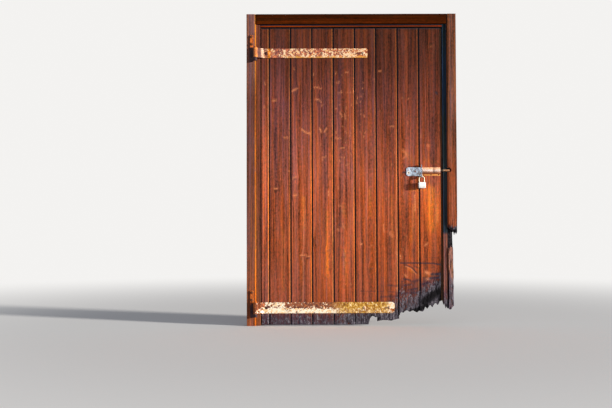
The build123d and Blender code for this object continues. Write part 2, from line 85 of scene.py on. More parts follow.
def noise(points, scale, seed=0):
    """Smooth noise from -1 to 1 at each row of points; scale may differ by axis."""
    q = np.asarray(points) * np.asarray(scale) + 31.7 * (seed + 1)
    cell = np.floor(q).astype(np.int64)
    part = q - cell
    part = part * part * (3 - 2 * part)
    total = np.zeros(len(q))
    for corner in range(8):
        step = np.array([corner & 1, corner >> 1 & 1, corner >> 2 & 1])
        weight = np.where(step, part, 1 - part).prod(1)
        key = (cell + step) * np.array([73856093, 19349663, 83492791])
        total += weight * LATTICE[(key[:, 0] ^ key[:, 1] ^ key[:, 2]) & 8191]
    return total


def layered(points, scale, seed=0, layers=3):
    """Noise with finer layers added at half strength each."""
    total = 0
    for layer in range(layers):
        total = total + noise(points, np.asarray(scale) * 2 ** layer, seed + layer) * 0.5 ** layer
    return total / (2 - 0.5 ** (layers - 1))


def smooth(value, low, high):
    """0 below low, 1 above high, and eased between them."""
    t = np.clip((value - low) / (high - low), 0, 1)
    return t * t * (3 - 2 * t)


# Meshes


def walk(corners, step=None):
    """Closed section through the corners, each edge divided at most a step apart. A corner may carry
    the step of the edge that starts there."""
    points = []
    for k, (x, y, *own) in enumerate(corners):
        a, b = np.array([x, y], float), np.array(corners[(k + 1) % len(corners)][:2], float)
        count = max(1, math.ceil(np.linalg.norm(b - a) / (own[0] if own else step) - 1e-6))
        points += [a + (b - a) * j / count for j in range(count)]
    return np.array(points)


def cut_box(u0, v0, u1, v1, a, b, c, d):
    """Corners of a box, anticlockwise, with its own four corners cut off by a, b, c and d."""
    return [(u0 + a, v0), (u1 - b, v0), (u1, v0 + b), (u1, v1 - c), (u1 - c, v1), (u0 + d, v1),
            (u0, v1 - d), (u0, v0 + a)]


def inward(section):
    """Unit vector in the plane that points into an anticlockwise section at each of its points."""
    along = np.roll(section, -1, 0) - np.roll(section, 1, 0)
    along /= np.linalg.norm(along, axis=1)[:, None] + 1e-12
    return np.stack([-along[:, 1], along[:, 0]], 1)


def flat(section):
    """Points of a section as places at height 0."""
    return np.column_stack([section, np.zeros(len(section))])


def spaced(start, end, *zones, step=0.01):
    """Rows from start to end, a step apart, and closer inside each zone (from, to, step)."""
    rows = [start]
    while rows[-1] < end:
        here = [s for a, b, s in zones if a <= rows[-1] < b]
        rows.append(rows[-1] + min(here + [step]))
    rows[-1] = end
    if len(rows) > 2 and rows[-1] - rows[-2] < 0.2 * step:
        del rows[-2]
    return np.array(rows)


def prism(section, rows, axis="Z", low=0, high=0, reach=0.3, edge=0.001, wear=None, bend=None):
    """Vertices and faces of a closed bar: the section carried along the rows. The section is (x, y)
    for a bar along Z and (z, y) for one along X. low and high are how far each section point's end
    falls short, edge rounds the ends, wear(points) is how far the surface lies inside the section,
    and bend(points) moves the points at last."""
    section = np.asarray(section, float)
    following = np.roll(section, -1, 0)
    if (section[:, 0] * following[:, 1] - following[:, 0] * section[:, 1]).sum() < 0:
        section = section[::-1]
        low, high = (end[::-1] if isinstance(end, np.ndarray) else end for end in (low, high))
    into = inward(section)
    rows = np.concatenate([
        [rows[0], rows[0] + 0.3 * edge, rows[0] + edge],
        rows[(rows > rows[0] + 1.5 * edge) & (rows < rows[-1] - 1.5 * edge)],
        [rows[-1] - edge, rows[-1] - 0.3 * edge, rows[-1]],
    ])
    n, m = len(section), len(rows)
    w = rows[:, None] + np.zeros(n)
    w = w + low * np.clip(1 - (rows - rows[0]) / reach, 0, 1)[:, None]
    w = w - high * np.clip(1 - (rows[-1] - rows) / reach, 0, 1)[:, None]
    inset = np.zeros(m)
    inset[[0, 1, -2, -1]] = edge * np.array([1, 0.3, 0.3, 1])
    u = section[:, 0] + into[:, 0] * inset[:, None]
    v = section[:, 1] + into[:, 1] * inset[:, None]
    turn = -1 if axis == "X" else 1

    def placed():
        return np.stack([u.ravel(), v.ravel(), w.ravel()], 1)[:, ::turn]

    if wear is not None:
        depth = wear(placed()).reshape(m, n)
        u = u + into[:, 0] * depth
        v = v + into[:, 1] * depth
    points = placed()
    if bend is not None:
        points = bend(points)
    i = np.arange(n)
    j = (i + 1) % n
    quads = []
    for r in range(m - 1):
        quads.append(np.stack([r * n + i, r * n + j, (r + 1) * n + j, (r + 1) * n + i], 1))
    quads = np.concatenate(quads)
    loop = [(int(a), int(b)) for a, b in zip(i, j)]
    cut = geometry.delaunay_2d_cdt([Vector(p) for p in section], loop, [], 1, 1e-7)
    origin = [o[0] for o in cut[3]]
    cap = np.array([[origin[k] for k in face] for face in cut[2]])
    faces = quads.tolist() + cap[:, ::-1].tolist() + (cap + (m - 1) * n).tolist()
    return points, faces


def volume(points, faces):
    """Signed volume inside the faces."""
    total = 0
    for size in (3, 4):
        same = np.array([f for f in faces if len(f) == size])
        if len(same):
            a = points[same[:, 0]]
            for k in range(1, size - 1):
                total += (a * np.cross(points[same[:, k]], points[same[:, k + 1]])).sum()
    return total


def joined(*parts):
    """Several closed shells as one list of vertices and faces."""
    points, faces, count = [], [], 0
    for some_points, some_faces in parts:
        turned = -1 if volume(some_points, some_faces) < 0 else 1
        points.append(some_points)
        faces += [[k + count for k in face][::turned] for face in some_faces]
        count += len(some_points)
    return np.concatenate(points), faces


def shaded(mesh, sharp):
    """Smooth faces, except along edges sharper than an angle in degrees."""
    mesh.polygons.foreach_set("use_smooth", [True] * len(mesh.polygons))
    mesh.set_sharp_from_angle(angle=math.radians(sharp))
    return mesh


def mesh_of(name, parts, sharp=32):
    """Mesh of one or more shells."""
    points, faces = joined(*parts)
    mesh = bpy.data.meshes.new(name)
    mesh.from_pydata(points.tolist(), [], faces)
    return shaded(mesh, sharp)


def points_of(mesh):
    """Coordinates of a mesh's vertices."""
    co = np.zeros(len(mesh.vertices) * 3)
    mesh.vertices.foreach_get("co", co)
    return co.reshape(-1, 3)


def mark(mesh, name, values):
    """Writes one number, or one vector, per vertex for the material to read."""
    values = np.asarray(values, float)
    kind, field = ("FLOAT_VECTOR", "vector") if values.ndim == 2 else ("FLOAT", "value")
    layer = mesh.attributes.new(name, kind, "POINT")
    layer.data.foreach_set(field, values.ravel())


def piece(name, mesh, body, slot, material, *replaced):
    """Object of the part: rides on a body, has its material, stands for CAD nodes. Its slot is not used."""
    thing = bpy.data.objects.new(name, mesh)
    scene.collection.objects.link(thing)
    mesh.materials.clear()
    mesh.materials.append(material)
    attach(thing, body)
    if replaced:
        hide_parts(*replaced)
    return thing


def dressed(node, name, slot, material, edge):
    """Copy of a CAD node with its flat faces merged and its sharp edges rounded."""
    shape = bmesh.new()
    shape.from_mesh(nodes[node].data)
    bmesh.ops.remove_doubles(shape, verts=shape.verts, dist=1e-6)
    bmesh.ops.dissolve_limit(shape, angle_limit=math.radians(1), verts=shape.verts, edges=shape.edges)
    sharp = [e for e in shape.edges if len(e.link_faces) == 2 and e.calc_face_angle() > math.radians(35)]
    bmesh.ops.bevel(shape, geom=sharp, offset=edge, segments=2, profile=0.6, affect="EDGES",
                    clamp_overlap=True)
    bmesh.ops.triangulate(shape, faces=[f for f in shape.faces if len(f.verts) > 4])
    mesh = bpy.data.meshes.new(name)
    shape.to_mesh(mesh)
    shape.free()
    return piece(name, shaded(mesh, 40), nodes[node]["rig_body"], slot, material, node)


def circle(sides, a, b):
    """Points round the origin, in the plane of two vectors."""
    turn = np.linspace(0, 2 * math.pi, sides, endpoint=False)
    return np.cos(turn)[:, None] * a + np.sin(turn)[:, None] * b


def ringed(first, rings, last):
    """Closed shell through rings of as many points each, with a single point at either end."""
    sides = len(rings[0])
    end = 1 + (len(rings) - 1) * sides
    faces = []
    for k in range(sides):
        after = (k + 1) % sides
        faces.append([0, 1 + k, 1 + after])
        for a in range(1, end, sides):
            faces.append([a + k, a + sides + k, a + sides + after, a + after])
        faces.append([end + k, end + sides, end + after])
    return np.concatenate([[first], *rings, [last]]), faces


def lathe(profile, sides, origin, direction):
    """Shell turned from (distance along, radius) pairs about a direction; its ends are at radius 0."""
    axis = Vector(direction).normalized()
    side = axis.orthogonal().normalized()
    rim = circle(sides, np.array(side), np.array(axis.cross(side)))
    places = [np.array(origin, float) + np.array(axis) * along for along, radius in profile]
    rings = [place + rim * radius for place, (along, radius) in zip(places, profile)]
    return ringed(places[0], rings[1:-1], places[-1])


def tube(path, radius, sides=20):
    """Round bar along a path in one plane."""
    path = np.array(path, float)
    along = np.gradient(path, axis=0)
    along /= np.linalg.norm(along, axis=1)[:, None]
    normal = np.cross(path[1] - path[0], path[len(path) // 2] - path[0])
    normal /= np.linalg.norm(normal)
    rings = [place + radius * circle(sides, normal, np.cross(direction, normal))
             for place, direction in zip(path, along)]
    return ringed(path[0], rings, path[-1])


# Materials


class Graph:
    """Nodes of one material or world. Values are outputs of nodes, or plain numbers."""

    def __init__(self, owner, output):
        owner.use_nodes = True
        self.tree = owner.node_tree
        self.tree.nodes.clear()
        self.out = self.make(output).inputs[0]

    def feed(self, socket, value):
        if isinstance(value, bpy.types.NodeSocket):
            self.tree.links.new(value, socket)
        elif value is not None:
            socket.default_value = value

    def make(self, kind, *values, **settings):
        """New node with values for its first inputs; None leaves an input as it is."""
        node = self.tree.nodes.new("ShaderNode" + kind)
        for key, value in settings.items():
            setattr(node, key, value)
        for socket, value in zip(node.inputs, values):
            self.feed(socket, value)
        return node

    def math(self, operation, a, b=None, c=None):
        return self.make("Math", a, b, c, operation=operation).outputs[0]

    def span(self, value, low, high, to_low=0, to_high=1):
        """Maps low to high onto other limits, and holds them outside."""
        return self.make("MapRange", value, low, high, to_low, to_high,
                         interpolation_type="SMOOTHSTEP").outputs[0]


class Paint(Graph):
    """A Principled material."""

    def __init__(self, name):
        self.material = bpy.data.materials.new(name)
        super().__init__(self.material, "OutputMaterial")
        self.shader = self.make("BsdfPrincipled")
        self.feed(self.out, self.shader.outputs[0])
        self.at = self.make("TexCoord").outputs["Object"]
        self.x, self.y, self.z = self.make("SeparateXYZ", self.at).outputs

    def add(self, a, b):
        return self.math("ADD", a, b)

    def times(self, a, b):
        return self.math("MULTIPLY", a, b)

    def least(self, a, b):
        return self.math("MINIMUM", a, b)

    def swing(self, value, amount):
        """A noise about its middle, times an amount."""
        return self.times(self.add(value, -0.5), amount)

    def blend(self, *pairs):
        """Sum of values, each times its share."""
        total = None
        for value, share in pairs:
            part = self.times(value, share)
            total = part if total is None else self.add(total, part)
        return total

    def mix(self, factor, a, b, blend="MIX"):
        node = self.make("Mix", data_type="RGBA", blend_type=blend)
        for index, value in ((0, factor), (6, a), (7, b)):
            self.feed(node.inputs[index], (*value, 1) if isinstance(value, tuple) else value)
        return node.outputs[2]

    def tint(self, colour, by):
        return self.mix(1, colour, by, "MULTIPLY")

    def scale(self, colour, by):
        node = self.make("VectorMath", colour, operation="SCALE")
        self.feed(node.inputs["Scale"], by)
        return node.outputs[0]

    def scaled(self, vector, scale, shift=(0, 0, 0)):
        node = self.make("VectorMath", vector, operation="MULTIPLY_ADD")
        node.inputs[1].default_value = scale
        node.inputs[2].default_value = shift
        return node.outputs[0]

    def noise(self, vector, scale=1, detail=3, rough=0.55, distortion=0):
        node = self.make("TexNoise", vector, None, scale, detail, rough)
        node.inputs["Distortion"].default_value = distortion
        return node.outputs[0]

    def ramp(self, value, *stops):
        """Colours between stops, each a place and its red, green and blue."""
        node = self.make("ValToRGB", value)
        band = node.color_ramp
        while len(band.elements) < len(stops):
            band.elements.new(0.5)
        for element, (place, *colour) in zip(band.elements, stops):
            element.position = place
            element.color = (*colour, 1)
        return node.outputs[0]

    def course(self, value, stops):
        """Ramp whose stops are places along the value itself."""
        start, end = stops[0][0], stops[-1][0]
        share = self.math("DIVIDE", self.add(value, -start), end - start)
        return self.ramp(share, *[((place - start) / (end - start), *colour) for place, *colour in stops])

    def read(self, name, output="Fac"):
        return self.make("Attribute", attribute_name=name).outputs[output]

    def bump(self, height, distance, strength):
        node = self.make("Bump")
        node.inputs["Strength"].default_value = strength
        node.inputs["Distance"].default_value = distance
        self.feed(node.inputs["Height"], height)
        self.feed(self.shader.inputs["Normal"], node.outputs[0])

    def finish(self, colour, roughness, metallic, specular):
        for name, value in (("Base Color", colour), ("Roughness", roughness), ("Metallic", metallic),
                            ("Specular IOR Level", specular)):
            self.feed(self.shader.inputs[name], value)
        return self.material


def wood(name, stops, late=(0.42, 0.36, 0.38), pale=(0.8, 0.26, 0.1), streaks=0.62, gloss=0.1,
         gleam=(1.42, 1.68, 0.74), left=(1, 1, 1), right=(1, 1, 1)):
    """Weathered timber. stops are heights in m from the ground up, each with its colour; the grain runs
    along the third component of the mesh's grain vector. The mesh may mark tone, glow, rot, scar and
    dark, where glow also carries painted highlights and dark also painted shade, and left and right tint
    the two sides of the doorway."""
    p = Paint(name)
    grain = p.read("grain", "Vector")

    def fibrous(across, along, shift, detail, rough=0.55):
        return p.noise(p.scaled(grain, (across, across, along), shift), detail=detail, rough=rough)

    fibre = fibrous(700, 13, (0, 0, 0), 2)
    streak = fibrous(112, 1.7, (0, 0, 0), 4, 0.68)
    band = fibrous(36, 1, (3, 7, 1), 2)
    blotch = fibrous(15, 4.6, (9, 2, 5), 5, 0.66)
    mottle = fibrous(170, 62, (2, 5, 8), 2, 0.6)
    hue = fibrous(64, 1.4, (6, 1, 2), 3, 0.6)
    speck = fibrous(150, 22, (4, 4, 4), 3, 0.7)
    crack = fibrous(150, 9, (1, 8, 3), 5, 0.72)
    ring = p.make("TexWave", p.scaled(grain, (1, 1, 0.03)), 36, 4.5, 2, 24,
                  wave_type="BANDS", bands_direction="X").outputs["Fac"]

    # Stain, brighter and darker by height, side and grain
    colour = p.course(p.z, stops)
    light = p.add(1, p.read("tone"))
    for layer, share in ((streak, 3.3), (band, 2.4), (fibre, 1.3), (blotch, 1.3), (mottle, 1.7)):
        light = p.math("MULTIPLY_ADD", p.add(layer, -0.5), share * streaks, light)
    colour = p.scale(colour, p.math("MAXIMUM", light, 0.22))
    colour = p.tint(colour, p.ramp(p.span(p.x, -0.6, 0.6), (0, *left), (1, *right)))
    # Hue along the grain: the bluish streaks are painted sheen of sky reflection, the orange ones the stain's
    # own colour.
    colour = p.tint(colour, p.ramp(hue, (0.36, 0.84, 1, 1.3), (0.62, 1.14, 0.98, 0.5)))
    colour = p.tint(colour, p.ramp(mottle, (0.38, 0.92, 1.06, 1.06), (0.62, 1.08, 0.94, 0.9)))
    lines = p.times(p.span(ring, 0.6, 0.95), p.span(streak, 0.38, 0.62, 0.9, 0.25))
    colour = p.mix(lines, colour, p.tint(colour, late))
    colour = p.mix(p.span(speck, 0.62, 0.72, 0, 0.5), colour, p.tint(colour, (1.6, 1.7, 1.7)))
    colour = p.mix(p.read("glow"), colour, p.tint(colour, gleam))

    # Scrapes, dark lines and painted shade
    broken = p.noise(p.at, 170, 4, 0.75)
    scar = p.least(p.times(p.read("scar"), p.span(broken, 0.38, 0.58, 0, 1.6)), 0.92)
    colour = p.mix(scar, colour, pale)
    dark = p.least(p.times(p.read("dark"), p.span(fibre, 0.3, 0.65, 0.75, 1.15)), 1)
    colour = p.mix(dark, colour, (0.022, 0.024, 0.034))

    # Soot-dark damp wood, then grey rot that turns black where decay is above 1
    decay = p.read("rot")
    soot = p.span(p.add(decay, p.swing(blotch, 1.1)), 0, 0.42, 0, 0.9)
    colour = p.mix(soot, colour, p.tint(colour, (0.4, 0.54, 1.05)))
    smudge = p.noise(p.scaled(p.at, (1, 1, 0.6)), 62, 5, 0.7, 1.1)
    rot = p.add(decay, p.add(p.swing(crack, 0.5), p.swing(smudge, 1.9)))
    rot = p.times(p.span(rot, 0.36, 0.88), p.span(decay, 0.04, 0.3))
    rotten = p.ramp(p.blend((crack, 0.45), (smudge, 0.55)), (0.39, 0.006, 0.005, 0.008),
                    (0.47, 0.036, 0.031, 0.04), (0.55, 0.112, 0.1, 0.122), (0.64, 0.32, 0.28, 0.31))
    colour = p.mix(rot, colour, p.scale(rotten, p.span(decay, 0.98, 1.4, 1, 0.1)))
    height = p.add(p.times(fibre, 0.3), p.blend((streak, 0.8), (lines, -0.35)))
    p.bump(p.add(height, p.times(p.times(rot, crack), 3)), 0.0011, 0.7)
    rough = p.add(p.span(streak, 0.2, 0.8, 0.82, 0.66), p.times(rot, 0.15))
    return p.finish(colour, rough, 0, gloss)


RUST = ((0.3, 0.022, 0.009, 0.008), (0.44, 0.12, 0.036, 0.016), (0.56, 0.34, 0.095, 0.022),
        (0.7, 0.62, 0.21, 0.04))


def rusty(name, glow, bright=0, painted_shade_below=None):
    """Bare iron under a grainy coat of rust, with a painted shadow, dark and bluish, below a height."""
    p = Paint(name)
    coarse = p.noise(p.at, 80, 5, 0.68)
    fine = p.noise(p.at, 560, 3, 0.6)
    mixed = p.add(p.blend((coarse, 0.7), (fine, 0.3)), bright)
    colour = p.ramp(mixed, *[(place, *np.multiply(glow, c)) for place, *c in RUST])
    if painted_shade_below:
        wavy = p.add(p.z, p.swing(coarse, 0.04))
        painted_shadow = p.span(wavy, painted_shade_below - 0.006, painted_shade_below + 0.006, 0.93, 0)
        colour = p.mix(painted_shadow, colour, (0.02, 0.018, 0.03))
    p.bump(p.blend((coarse, 0.8), (fine, 0.5)), 0.0011, 0.9)
    return p.finish(colour, p.span(fine, 0.2, 0.8, 0.72, 0.95), 0, 0.3)


def flaking(name, paint, cover, tints, split=None, rim=None, size=1, painted_light_bands=None):
    """Old paint that flakes off rusty iron. cover gives, at each x, how bare the upper and the lower
    half are and how far an ochre crust has grown. tints colour the rust along x. split is the height
    between the halves, rim that of an orange lower edge painted as a highlight, and painted_light_bands
    tint the coat by height with painted highlights and shade."""
    p = Paint(name)
    coarse = p.noise(p.at, 34 / size, 4, 0.62, 0.6)
    fine = p.noise(p.at, 80 / size, 2, 0.6, 0.8)
    cells = p.make("TexVoronoi", p.at)
    cells.inputs["Scale"].default_value = 105 / size
    chips = p.span(cells.outputs["Distance"], 0.1, 0.7)
    level = p.blend((coarse, 0.42), (fine, 0.5), (chips, 0.09))
    upper, lower, crust = p.make("SeparateColor", p.course(p.x, cover)).outputs
    wavy = p.add(p.z, p.swing(coarse, 0.05))
    above = p.span(wavy, split - 0.006, split + 0.006) if split else 1
    need = p.add(lower, p.times(above, p.math("SUBTRACT", upper, lower)))
    kept = p.span(p.math("SUBTRACT", level, need), -0.008, 0.014)
    rust = p.ramp(p.blend((p.noise(p.at, 48 / size, 4, 0.7), 0.6), (fine, 0.4)), *RUST)
    rust = p.tint(rust, p.course(p.x, tints))
    stain = p.span(p.noise(p.at, 60 / size, 4, 0.7), 0.46, 0.62)
    coat = p.mix(stain, paint, tuple(a * b for a, b in zip(paint, (0.92, 0.62, 0.34))))
    coat = p.mix(p.span(p.noise(p.at, 190, 3, 0.7), 0.55, 0.72, 0, 0.4), coat, (0.4, 0.16, 0.07))
    # Painted light: bands of highlight and shade tinted onto the coat by height.
    if painted_light_bands:
        coat = p.tint(coat, p.course(p.z, painted_light_bands))
    colour = p.mix(kept, rust, coat)
    if rim:
        # Painted highlight: an orange glint along the lower edge.
        painted_glint = p.times(p.span(wavy, rim, rim + 0.012, 0.8, 0), p.span(p.x, -0.46, -0.4))
        colour = p.mix(painted_glint, colour, (0.84, 0.38, 0.06))
        colour = p.mix(p.span(p.x, -0.58, -0.57, 0.5, 0), colour, (0.3, 0.13, 0.1))
    lichen = p.span(p.noise(p.at, 62, 5, 0.72), 0.33, 0.46)
    grown = p.times(p.times(crust, p.span(above, 0, 1, 0.85, 1)), lichen)
    spots = p.ramp(p.noise(p.at, 70, 4, 0.74), (0.36, 0.15, 0.055, 0.01), (0.45, 0.4, 0.175, 0.018),
                   (0.54, 0.62, 0.33, 0.04), (0.61, 0.86, 0.58, 0.2), (0.67, 0.97, 0.9, 0.72))
    colour = p.mix(grown, colour, spots)
    p.bump(p.add(kept, p.blend((fine, 0.5), (coarse, 0.6))), 0.0007, 0.9)
    return p.finish(colour, p.span(kept, 0, 1, 0.9, 0.6), 0, 0.3)


def metal(name, colour, dull, stain, amount, roughness, hole=None, painted_shadow_span=None):
    """Bright metal with dull clouds, stains and fine scratches, worn pale round a hole at (x, z) and
    painted black between two places along x, as a painted shadow."""
    p = Paint(name)
    cloud = p.noise(p.at, 85, 4, 0.65)
    spot = p.noise(p.at, 260, 4, 0.7)
    scratch = p.noise(p.scaled(p.at, (90, 1500, 1500)), 1, 2)
    shade = p.mix(p.span(cloud, 0.35, 0.65), colour, dull)
    marked = p.times(p.span(p.blend((cloud, 0.5), (spot, 0.5)), 0.62 - amount, 0.72 - amount), 0.9)
    shade = p.mix(marked, shade, stain)
    if hole:
        from_hole = p.scaled(p.at, (1, 0, 1), (-hole[0], 0, -hole[1]))
        away = p.make("VectorMath", from_hole, operation="LENGTH").outputs["Value"]
        away = p.add(away, p.swing(cloud, 0.006))
        shade = p.mix(p.span(away, 0.008, 0.0115, 0.95, 0), shade, (0.92, 0.82, 0.7))
        shade = p.mix(p.span(away, 0.004, 0.0055, 0.95, 0), shade, (0.02, 0.016, 0.014))
    if painted_shadow_span:
        start, end = painted_shadow_span
        inside = p.times(p.span(p.x, start, start + 0.003), p.span(p.x, end - 0.004, end, 0.9, 0))
        shade = p.mix(inside, shade, (0.03, 0.034, 0.03))
    p.bump(p.blend((spot, 0.6), (scratch, 0.5)), 0.0003, 0.6)
    rough = p.add(p.span(scratch, 0.3, 0.7, roughness, roughness + 0.14), p.times(marked, 0.3))
    return p.finish(shade, rough, p.span(marked, 0, 1, 1, 0.1), 0.5)


def middle(node):
    """Height of a CAD node's middle."""
    return sum(corner.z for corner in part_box(node)) / 2


# The boards darken towards the top: partly weathering, partly painted shade of the eaves.
board_paint = wood("stained_boards", [
    (0, 0.28, 0.07, 0.034), (0.3, 0.33, 0.078, 0.035), (0.55, 0.38, 0.087, 0.034),
    (0.8, 0.4, 0.09, 0.037), (1, 0.37, 0.092, 0.05), (1.45, 0.215, 0.055, 0.037),
    (1.72, 0.126, 0.032, 0.0195), (2, 0.106, 0.026, 0.0115)],
    streaks=0.72, left=(1.02, 1.05, 1.22), right=(0.98, 0.93, 0.86))
# The left post's gleam tint turns its chamfered arris bright orange, a painted highlight where it faces the
# lamp.
left_post_paint = wood("left_post_wood", [
    (0, 0.22, 0.071, 0.048), (0.8, 0.192, 0.064, 0.046), (1.5, 0.128, 0.047, 0.045),
    (1.75, 0.2, 0.084, 0.076), (2.1, 0.22, 0.092, 0.083)], gleam=(2.3, 1.7, 0.16))
right_post_paint = wood("right_post_wood", [
    (0, 0.28, 0.15, 0.14), (0.5, 0.38, 0.165, 0.125), (0.62, 0.34, 0.082, 0.032),
    (1, 0.27, 0.07, 0.034), (1.4, 0.22, 0.083, 0.058), (2.1, 0.17, 0.06, 0.04)], streaks=0.85)
# The head is dark and darker towards its top: its stain, with painted shade of the eaves.
head_paint = wood("head_wood", [
    (0, 0.09, 0.016, 0.001), (2.005, 0.09, 0.016, 0.001), (2.04, 0.045, 0.009, 0.001),
    (2.1, 0.036, 0.007, 0.001)], gloss=0.02)
lining_paint = wood("lining_wood", [
    (0, 0.22, 0.07, 0.03), (1, 0.225, 0.06, 0.028), (2.1, 0.19, 0.056, 0.038)])
head_lining_paint = wood("head_lining_wood", [(0, 0.235, 0.03, 0), (2.1, 0.235, 0.03, 0)], gloss=0)
# The right lining keeps its brown below the post's break; above it, the dark blue is painted shade of the
# right post.
shade_lining_paint = wood("right_lining_wood_and_painted_shade", [
    (0, 0.3, 0.11, 0.075), (0.595, 0.24, 0.088, 0.068), (0.612, 0.028, 0.038, 0.058),
    (2.1, 0.024, 0.044, 0.072)], gloss=0.03)
hidden_paint = wood("inner_wood", [(0, 0.2, 0.11, 0.07), (2.1, 0.26, 0.15, 0.09)],
                    late=(0.6, 0.5, 0.45), streaks=0.4)

# On the top strap the rim is a painted highlight along its lower edge, and the dark violet tint on the left
# side of its eye is painted shade.
top_strap_paint = flaking(
    "top_strap_paint", (0.95, 0.68, 0.42),
    [(-0.66, 0.9, 0.9, 0), (-0.6, 0.9, 0.9, 0), (-0.596, 0.44, 0.46, 0), (-0.582, 0.5, 0.5, 0),
     (-0.57, 0.6, 0.6, 0), (-0.49, 0.59, 0.58, 0), (-0.45, 0.53, 0.535, 0), (-0.25, 0.545, 0.54, 0),
     (-0.1, 0.535, 0.525, 0), (0.11, 0.52, 0.52, 0)],
    [(-0.66, 0.3, 0.4, 1.5), (-0.647, 0.3, 0.4, 1.5), (-0.642, 4.6, 4.4, 0.05), (-0.625, 4.6, 4.4, 0.05),
     (-0.619, 0.9, 1.6, 4.5), (-0.6, 0.9, 1.7, 4.5), (-0.596, 1.3, 1.6, 3), (-0.558, 1.3, 1.6, 3),
     (-0.553, 2.8, 3, 0.5), (-0.54, 2.6, 2.8, 0.5), (-0.534, 1.7, 1.8, 3.4), (-0.44, 1.8, 1.8, 3.4),
     (-0.1, 2, 1.9, 3), (0.11, 2.2, 2, 2.2)],
    split=middle("top_strap") - 0.004, rim=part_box("top_strap")[0].z + 0.001)
bottom_strap_paint = flaking(
    "bottom_strap_paint", (0.97, 0.86, 0.68),
    [(-0.66, 0.66, 0.62, 0), (-0.59, 0.58, 0.52, 0), (-0.57, 0.5, 0.44, 0), (-0.45, 0.5, 0.42, 0),
     (-0.43, 0.6, 0.45, 0), (-0.15, 0.61, 0.47, 0), (-0.11, 0.6, 0.49, 0.35), (-0.06, 0.58, 0.54, 1),
     (0.2, 0.58, 0.54, 1), (0.232, 0.5, 0.56, 0.9), (0.246, 0.34, 0.54, 0.1), (0.29, 0.34, 0.56, 0.1)],
    [(-0.66, 1.2, 1.1, 1), (-0.45, 1.1, 1.2, 1.9), (-0.1, 1.1, 1.2, 1.7), (0.28, 1.3, 1.2, 1)],
    split=0.114, size=0.9)
strap_bolt_paint = flaking(
    "strap_bolt_paint", (0.88, 0.66, 0.48),
    [(-0.66, 0.95, 0.95, 0), (-0.5, 0.95, 0.95, 0), (-0.4, 0.5, 0.5, 0), (0.28, 0.5, 0.5, 0)],
    [(-0.66, 0.22, 0.2, 0.6), (-0.5, 0.22, 0.2, 0.6), (-0.4, 1.3, 1.2, 1), (0.28, 1.3, 1.2, 1)], size=0.4)
# The guide's bands by height are painted light: highlights along the top of the keepers and a dark line of
# painted shade under the rod.
guide_paint = flaking(
    "guide_paint", (0.98, 0.84, 0.76), [(0.46, 0.43, 0.43, 0), (0.6, 0.43, 0.43, 0)],
    [(0.46, 1.6, 1.3, 0.8), (0.6, 1.6, 1.3, 0.8)], size=0.5,
    painted_light_bands=[(0.98, 0.5, 0.2, 0.08), (0.987, 0.88, 0.48, 0.18), (0.995, 0.86, 0.4, 0.08),
           (0.998, 0.24, 0.07, 0.015), (1.0065, 0.27, 0.08, 0.02), (1.011, 0.8, 0.6, 0.48),
           (1.017, 0.96, 0.86, 0.9), (1.026, 1, 0.94, 0.92), (1.032, 1, 0.78, 0.58), (1.044, 0.93, 0.6, 0.4)])
# The hooks' plates are painted dark and bluish below a height: painted shadow of the strap's eye on the
# plate.
hook_paints = {name: rusty(name + "_rust", (1.6, 1.25, 0.7), 0.06, painted_shade_below=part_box(name)[0].z + 0.092)
               for name in ("top_hook", "bottom_hook")}
fastener_paint = rusty("fastener_rust", (0.65, 0.65, 0.7))
rivet_paint = rusty("rivet_rust", (1.35, 0.95, 0.7), 0.05)
# The rod is painted black between the guide plate and the post: a painted shadow where it crosses the gap.
rod_paint = metal("rod_steel", (0.42, 0.27, 0.17), (0.26, 0.14, 0.08), (0.44, 0.17, 0.055), 0.16, 0.45,
                  painted_shadow_span=(0.586, 0.607))
# The tail plate's blue tint is painted sky light on grey zinc, the blue it shows in shade.
tail_paint = metal("tail_zinc", (0.7, 0.82, 0.96), (0.24, 0.29, 0.38), (0.62, 0.42, 0.26), 0.105, 0.42,
                   hole=(0.3775, 1.007))
shackle_paint = metal("shackle_steel", (0.46, 0.41, 0.31), (0.3, 0.26, 0.19), (0.33, 0.18, 0.08), -0.03, 0.34)
lock_paint = metal("lock_metal", (0.345, 0.342, 0.338), (0.285, 0.282, 0.278), (0.34, 0.24, 0.15), -0.05,
                   0.46)
brass_paint = metal("lock_brass", (0.72, 0.5, 0.18), (0.48, 0.31, 0.1), (0.14, 0.09, 0.04), 0, 0.32)


# Timber

# In m: depths of the posts' front and back, of the leaf's face and back and of its ledges' back; edges of
# the posts from the middle, and their top; chamfer and rounding of edges
FRONT_Y, BACK_Y = -0.026, 0.064
LEAF_Y, LEAF_BACK_Y, LEDGE_Y = -0.013, 0.007, 0.029
POST_IN, POST_OUT, POST_TOP = 0.6325, 0.6965, 2.068
ARRIS = 0.008
SOFT = 0.0015
UP = (0, 0, 1)

# A pixel of the picture on the leaf in m; the picture's middle and the camera's focal length in pixels
PIXEL = 0.00662
PICTURE_X, PICTURE_Y, FOCUS = 306, 204, 850


def on_leaf(x, y):
    """Place on the leaf's face that the camera sees at a point of the picture."""
    ray = camera.rotation_euler.to_matrix() @ Vector(((x - PICTURE_X) / FOCUS, (PICTURE_Y - y) / FOCUS, -1))
    place = camera.location + ray * ((LEAF_Y - camera.location.y) / ray.y)
    return place.x, place.z


def timber(node, shells, slot, material, seed=None, axis="Z", sharp=32):
    """Wooden piece in place of a CAD node: its mesh and points. With a seed, the mesh gets its grain
    vector, across, across and along."""
    mesh = mesh_of(node + "_timber", shells, sharp)
    co = points_of(mesh)
    if seed is not None:
        order = [0, 1, 2] if axis == "Z" else [2, 1, 0]
        mark(mesh, "grain", co[:, order] + np.array([0.37, 0.11, 0.53]) * (seed + 1))
    piece(node + "_timber", mesh, nodes[node]["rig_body"], slot, material, node)
    return mesh, co


